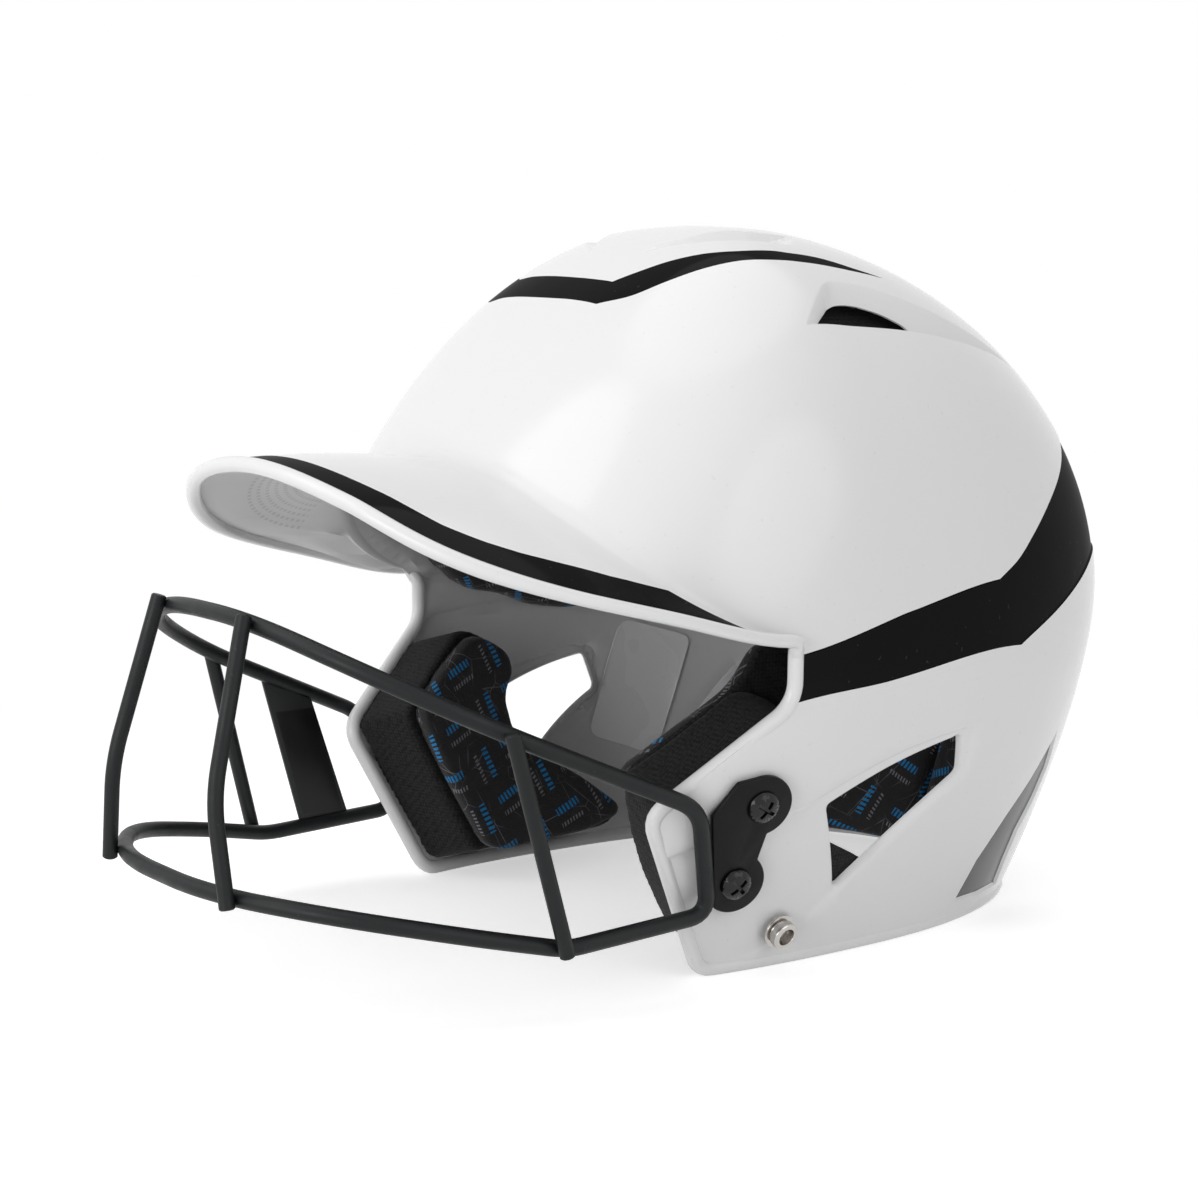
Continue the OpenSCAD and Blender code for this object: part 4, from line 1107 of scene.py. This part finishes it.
# %% Cells of strokes, and the cloth's colour
TURN, ROW_SHIFT = -20, 0.31
turned = put(web_group, "Mapping", {"Vector": cloth_at, "Rotation": (0, 0, math.radians(TURN)),
                                    "Scale": (SHEET_MM / CELL_MM, SHEET_MM / CELL_MM, 1)})
across, along, _ = put(web_group, "SeparateXYZ", {0: turned.outputs[0]}).outputs
row = web("FLOOR", along)
across = web("ADD", across, web("MULTIPLY", row, ROW_SHIFT))
odd = web("MODULO", web("ADD", row, web("FLOOR", across)), 2.0)
odd = web("GREATER_THAN", web("ABSOLUTE", odd), 0.5)
even = web("SUBTRACT", 1.0, odd)
cell_u, cell_v = web("FRACT", across), web("FRACT", along)
run = web("ADD", web("MULTIPLY", cell_u, even), web("MULTIPLY", cell_v, odd))
rise = web("ADD", web("MULTIPLY", cell_v, even), web("MULTIPLY", cell_u, odd))


def strokes(middle, half, count, share, lean):
    """Short slanted strokes side by side in a row across a cell"""
    in_row = web("LESS_THAN", web("ABSOLUTE", web("SUBTRACT", rise, middle)), half)
    in_run = web("LESS_THAN", web("ABSOLUTE", web("SUBTRACT", run, 0.5)), 0.34)
    slant = web("ADD", web("MULTIPLY", run, count), web("MULTIPLY", rise, lean))
    return product(web_group, web("LESS_THAN", web("FRACT", slant), share), in_row, in_run)


weave = put(web_group, "TexNoise", {"Vector": cloth_at, "Scale": 160.0, "Detail": 3.0}).outputs["Fac"]
cloth = blend(web_group, weave, (0.006, 0.006, 0.007, 1), (0.022, 0.020, 0.022, 1))
cloth = blend(web_group, web("MULTIPLY", threads, 0.8), cloth, (0.17, 0.165, 0.18, 1))
cloth = blend(web_group, strokes(0.66, 0.085, 9.0, 0.55, 1.2), cloth, (0.010, 0.215, 0.500, 1))
cloth = blend(web_group, strokes(0.34, 0.050, 11.0, 0.48, -1.5), cloth, (0.19, 0.19, 0.21, 1))
connect(web_group, gives, {"Color": cloth, "Height": weave})
print("cells of", CELL_MM, "mm")

# %% Cover cloth material
cover_cloth, tree, shader = new_material("cover_cloth", {"Roughness": 0.78, "Specular IOR Level": 0.3,
                                                         "Sheen Weight": 0.2, "Sheen Roughness": 0.4})
print_at = put(tree, "UVMap", uv_map="cloth").outputs[0]
printed = place_group(tree, web_group, {"Vector": print_at})
knit = put(tree, "TexVoronoi", {"Vector": print_at, "Scale": 130.0}).outputs["Distance"]
woven = calc(tree, "ADD", product(tree, knit, 0.7), printed["Height"])
raised = put(tree, "Bump", {"Height": woven, "Distance": 0.0003, "Strength": 0.6})
connect(tree, shader, {"Base Color": printed["Color"], "Normal": raised.outputs["Normal"]})
print("cloth material made")

# %% [markdown]
# ## Pads
# A pad is cut flat, rounded along its face, and pressed against the wall. So it is modelled flat: an
# outline is extruded, its rim bevelled, the block remeshed evenly, and every point then laid on the
# shell's inside at its own depth, with its middle raised a little so that it looks stuffed. The print's
# coordinates are taken while the block is still flat. Cloth simulation would puff a loose cushion, but
# these are thin and glued down all over.

# %% Flat block
def flat_block(name, outline, thick, rim, voxel, rounds):
    bpy.ops.mesh.primitive_circle_add(vertices=len(outline), radius=1, fill_type="NGON")
    piece = bpy.context.object
    piece.name = name
    for vertex, (u, v) in zip(piece.data.vertices, outline):
        vertex.co = (u * 0.001, v * 0.001, 0)
    choose(piece, "EDIT")
    bpy.ops.mesh.select_all(action="SELECT")
    bpy.ops.mesh.extrude_region_move(TRANSFORM_OT_translate={"value": (0, 0, thick * 0.001)})
    bpy.ops.mesh.bevel(offset=rim * 0.001, segments=4, profile=0.55, affect="EDGES")
    face_outwards(piece)
    finish_with(piece, "REMESH", mode="VOXEL", voxel_size=voxel * 0.001)
    finish_with(piece, "SMOOTH", factor=0.5, iterations=rounds)
    return piece


PUFF_RUN = 14


def puffed(outline, flat, thick, puff):
    """Height of each point of the block once its middle is stuffed"""
    edge = np.column_stack([outline, np.zeros(len(outline))])
    rise = np.clip(distance(edge, flat * [1, 1, 0]) / PUFF_RUN, 0, 1)
    return flat[:, 2] + puff * np.where(flat[:, 2] > thick / 2, rise * (2 - rise), 0)


def print_places(outline, flat, thick):
    """Cloth coordinates of each point, carried outwards down the block's sides"""
    out = flat[:, :2] - outline.mean(axis=0)
    out /= np.maximum(np.linalg.norm(out, axis=1), 1e-6)[:, None]
    return (flat[:, :2] + out * (thick - flat[:, 2:3])) / SHEET_MM


print("print sheet:", SHEET_MM, "mm")

# %% Block pressed on a wall
def wall_points(face, u, v, depth):
    if face == "side":
        return np.stack([side_x(u, v, depth), u, v], axis=1)
    if face == "front":
        return np.stack([u, front_y(u, v, depth), v], axis=1)
    if face == "rear":
        return np.stack([u, rear_y(u, v, depth), v], axis=1)
    z = np.interp(level_run[-1] - np.hypot(u, v), level_run, level_z)
    return dome(np.arctan2(v, u), z * (CROWN_H - depth) / CROWN_H, depth)


def pressed_pad(name, node, face, outline, depth, thick, rim, voxel=1.8, rounds=6, puff=1.8, lean=None,
                hand=1, cover=cover_cloth):
    outline = np.asarray(outline, float)
    piece = flat_block(name, outline, thick, rim, voxel, rounds)
    flat = np.array([tuple(v.co) for v in piece.data.vertices]) * 1000
    backs = [p.index for p in piece.data.polygons if p.center.z < thick * 0.0002]
    u, v = flat[:, 0], flat[:, 1]
    h = puffed(outline, flat, thick, puff)
    if lean is not None:
        u, v = lean(u, v, 1 - h / thick)
    laid = wall_points(face, u, v, depth + h) * [hand, 1, 1]
    for vertex, co in zip(piece.data.vertices, to_part(laid)):
        vertex.co = co
    corner = np.zeros(len(piece.data.loops), dtype=int)
    piece.data.loops.foreach_get("vertex_index", corner)
    layer = piece.data.uv_layers.new(name="cloth")
    layer.data.foreach_set("uv", print_places(outline, flat, thick)[corner].ravel())
    face_outwards(piece)
    bpy.ops.object.shade_smooth()
    piece.data.materials.append(cover)
    piece.data.materials.append(foam_black)
    for index in backs:
        piece.data.polygons[index].material_index = 1
    stand_in(piece, node)
    print(name, len(piece.data.polygons), "faces")

# %% Foam blocks and cushions in the flaps
PAD_GAP, FOAM_T, CUSHION_T = 0.5, 23.5, 6.0
foam_top = [(1.2, 83.4), (-28.3, 59.7)]
foam_front = {"left": [(-26.6, 51.5), (-23.4, 41), (-18.7, 29.9), (-12, 18.5), (-6, 9.8)],
              "right": [(-5.3, 11.6)]}
foam_rear = [(50, 11.8), (56.5, 14), (56.5, 19.5), (44, 30), (31, 38.5), (18.5, 47.5), (16, 58), (21.5, 66.5),
             (20.5, 74), (13, 80), (6, 83)]
foam_ahead = {"left": 2.6, "right": 5.2}
cushion_low = [(-13, 71.2), (-26, 60), (-14.5, 36), (-3.5, 13.5), (3.5, 11.2), (38.5, 12.3), (53.5, 15.8),
               (55.3, 19.6), (43, 29.7), (30, 38), (17, 47.6), (15, 60.5)]
upper_lobe = {"left": [(21, 70), (25, 82), (24, 92), (17, 97), (10.5, 95), (3.5, 83.5)],
              "right": [(20.5, 68.4), (18.8, 74.7), (11.3, 79.6), (3.5, 81.8)]}


LEAN_END, LEAN_RUN = 46, 40
DROP, MORE_DROP, LOW_END, LOW_RUN = 1.5, 4.9, 26, 14


def leaning_with(ahead):
    """The block's front and top lean with the wall's own direction, its rear doesn't"""
    def lean(u, v, back):
        share = np.clip((LEAN_END - u) / LEAN_RUN, 0, 1)
        share = share * share * (3 - 2 * share)
        drop = DROP + MORE_DROP * np.maximum(share, np.clip((LOW_END - v) / LOW_RUN, 0, 1))
        return u - back * ahead * share, v - back * drop
    return lean


for side, hand in (("left", 1), ("right", -1)):
    pressed_pad("foam_block_" + side, "ear_foam_" + side, "side",
                rounded(foam_top + foam_front[side] + foam_rear, 2.6, 3), WALL + PAD_GAP, FOAM_T, 1.2,
                voxel=1.3, rounds=2, puff=0, lean=leaning_with(foam_ahead[side]), hand=hand,
                cover=foam_black)
    pressed_pad("flap_cushion_" + side, "ear_cushion_" + side, "side",
                rounded(cushion_low + upper_lobe[side], 4.0, 5), WALL + 2 * PAD_GAP + FOAM_T, CUSHION_T, 2.2,
                voxel=1.1, rounds=4, puff=1.6, hand=hand)

# %% Pads on the sides, the rear, the brow and the crown
PAD_T, CAP_T, CAP_DEPTH, CAP_REACH = 11.0, 7.0, 8.1, 83.0
side_outline = rounded([(6, 140), (-3, 112), (8, 101.5), (19, 93.5), (34, 91), (45, 86), (62, 83.5), (72, 85),
                        (74, 100), (69, 122), (58, 140), (30, 146)], 5, 4)
rear_outline = rounded([(40, 58), (62, 44), (64, 20), (52, 3.6), (1.2, 2.4), (1.2, 56)], 4, 4)
brow_outline = rounded([(-46, 173), (-56, 149), (-30, 151.5), (0, 153), (30, 151.5), (56, 149), (46, 173),
                        (0, 179)], 6, 4)
for side, hand in (("left", 1), ("right", -1)):
    pressed_pad("temple_pad_" + side, "side_pad_" + side, "side", side_outline, WALL + PAD_GAP, PAD_T, 5.0,
                hand=hand)
    pressed_pad("nape_pad_" + side, "rear_pad_" + side, "rear", rear_outline, WALL + PAD_GAP, PAD_T, 4.5,
                voxel=1.7, rounds=5, hand=hand)
pressed_pad("forehead_pad", "brow_pad", "front", brow_outline, WALL + PAD_GAP, PAD_T - 1, 4.5)
around = np.linspace(0, 2 * math.pi, 96, endpoint=False)
cap_outline = CAP_REACH * np.stack([np.cos(around), np.sin(around)], axis=1)
pressed_pad("crown_cushion", "crown_pad", "crown", cap_outline, CAP_DEPTH, CAP_T, 4.0, voxel=2.2, puff=0)

# %% [markdown]
# ## The plain label inside
# A light grey label with rounded corners is stuck on the inner wall behind the right ear opening. It is
# left bare. A flat sheet is filled with triangles, laid on the wall and thickened.

# %% Label
LABEL_STEP, LABEL_OFF = 2.5, 0.35
label_outline = rounded([(87.5, 77.5), (67, 37.5), (92.5, 28), (114, 69.5)], 5, 6)
grid = np.meshgrid(np.arange(66, 116, LABEL_STEP), np.arange(27, 80, LABEL_STEP))
grid = np.stack(grid, axis=-1).reshape(-1, 2)
grid = grid[inside(label_outline, grid)]
ring = len(label_outline)
verts, _, faces, *_ = geometry.delaunay_2d_cdt([Vector(p) for p in np.concatenate([label_outline, grid])],
                                               [(i, (i + 1) % ring) for i in range(ring)], [], 1, 1e-5)
u, v = np.array([tuple(p) for p in verts]).T
label = lay_mesh("fit_label", wall_points("side", u, v, WALL + LABEL_OFF) * [-1, 1, 1], faces)
label_grey = plastic("label_grey", (0.95, 0.95, 0.94, 1), (0.90, 0.90, 0.90, 1), 0.22, 0.08,
                     coat=0.6, level=0.6)
label.data.materials.append(label_grey)
finish_with(label, "SOLIDIFY", thickness=0.0004, offset=-1)
face_outwards(label)
smooth(label)
stand_in(label, "inner_label")
print("label:", len(faces), "triangles")

# %% [markdown]
# ## Floor and light
# The helmet stands on a white sweep under soft lamps. The floor takes its shadow, and fades to plain
# white away from it. What the lamps don't reach, an even pale surrounding does. Both look whiter to the
# camera and in reflections than they light the helmet, which keeps its pale shell from washing out.

# %% Floor
def seen_directly(tree):
    """1 for what the camera, a reflection or clear plastic looks at, 0 for what lights the object"""
    rays = put(tree, "LightPath").outputs
    seen = calc(tree, "MAXIMUM", rays["Is Camera Ray"], rays["Is Glossy Ray"])
    return calc(tree, "MAXIMUM", seen, rays["Is Transmission Ray"])


GLOW_NEAR, FADE_START, FADE_END = 0.53, 0.18, 0.45
bpy.ops.mesh.primitive_plane_add(size=40, location=(0, 0, 0))
floor = bpy.context.object
floor.name = "floor"
floor_white = bpy.data.materials.new("floor_white")
floor_white.use_nodes = True
tree = floor_white.node_tree
tree.nodes.clear()
seen = seen_directly(tree)
from_middle = put(tree, "VectorMath", {0: place_of(tree)}, operation="LENGTH").outputs["Value"]
far = span(tree, from_middle, FADE_START, FADE_END)
ground = put(tree, "BsdfDiffuse", {"Color": (0.86, 0.86, 0.86, 1)})
glow_near = put(tree, "Emission", {"Color": (1, 1, 1, 1), "Strength": product(tree, seen, GLOW_NEAR)})
glow_far = put(tree, "Emission", {"Color": (1, 1, 1, 1), "Strength": seen})
lit = put(tree, "AddShader", {0: ground.outputs[0], 1: glow_near.outputs[0]})
faded = put(tree, "MixShader", {0: product(tree, far, seen), 1: lit.outputs[0], 2: glow_far.outputs[0]})
put(tree, "OutputMaterial", {"Surface": faded.outputs[0]})
floor.data.materials.append(floor_white)
print("floor laid")

# %% Surrounding and lamps
AROUND_LIGHT, AROUND_SEEN = 0.38, 1.0
world = bpy.data.worlds.new("surrounding")
scene.world = world
world.use_nodes = True
tree = world.node_tree
tree.nodes.clear()
strength = span(tree, seen_directly(tree), 0, 1, AROUND_LIGHT, AROUND_SEEN)
backdrop = put(tree, "Background", {"Color": (1, 1, 1, 1), "Strength": strength})
put(tree, "OutputWorld", {"Surface": backdrop.outputs[0]})


def lamp(name, place, aim, size, power):
    turn = (Vector(aim) - Vector(place)).to_track_quat("-Z", "Y").to_euler()
    bpy.ops.object.light_add(type="AREA", location=place, rotation=turn)
    made = bpy.context.object
    made.name = name
    made.data.shape = "DISK"
    made.data.size = size
    made.data.energy = power


lamp("key_lamp", (-0.9, -1.9, 1.9), (0, -0.02, 0.12), 2.2, 20.0)
lamp("top_lamp", (-0.3, 0.2, 2.4), (0, 0, 0.1), 2.4, 13.5)
lamp("face_lamp", (0.45, -2.2, 0.30), (0, 0, 0.1), 1.6, 22.5)
lamp("side_lamp", (2.2, 0.3, 1.0), (0, 0, 0.12), 1.8, 9.0)
print("lamps placed")
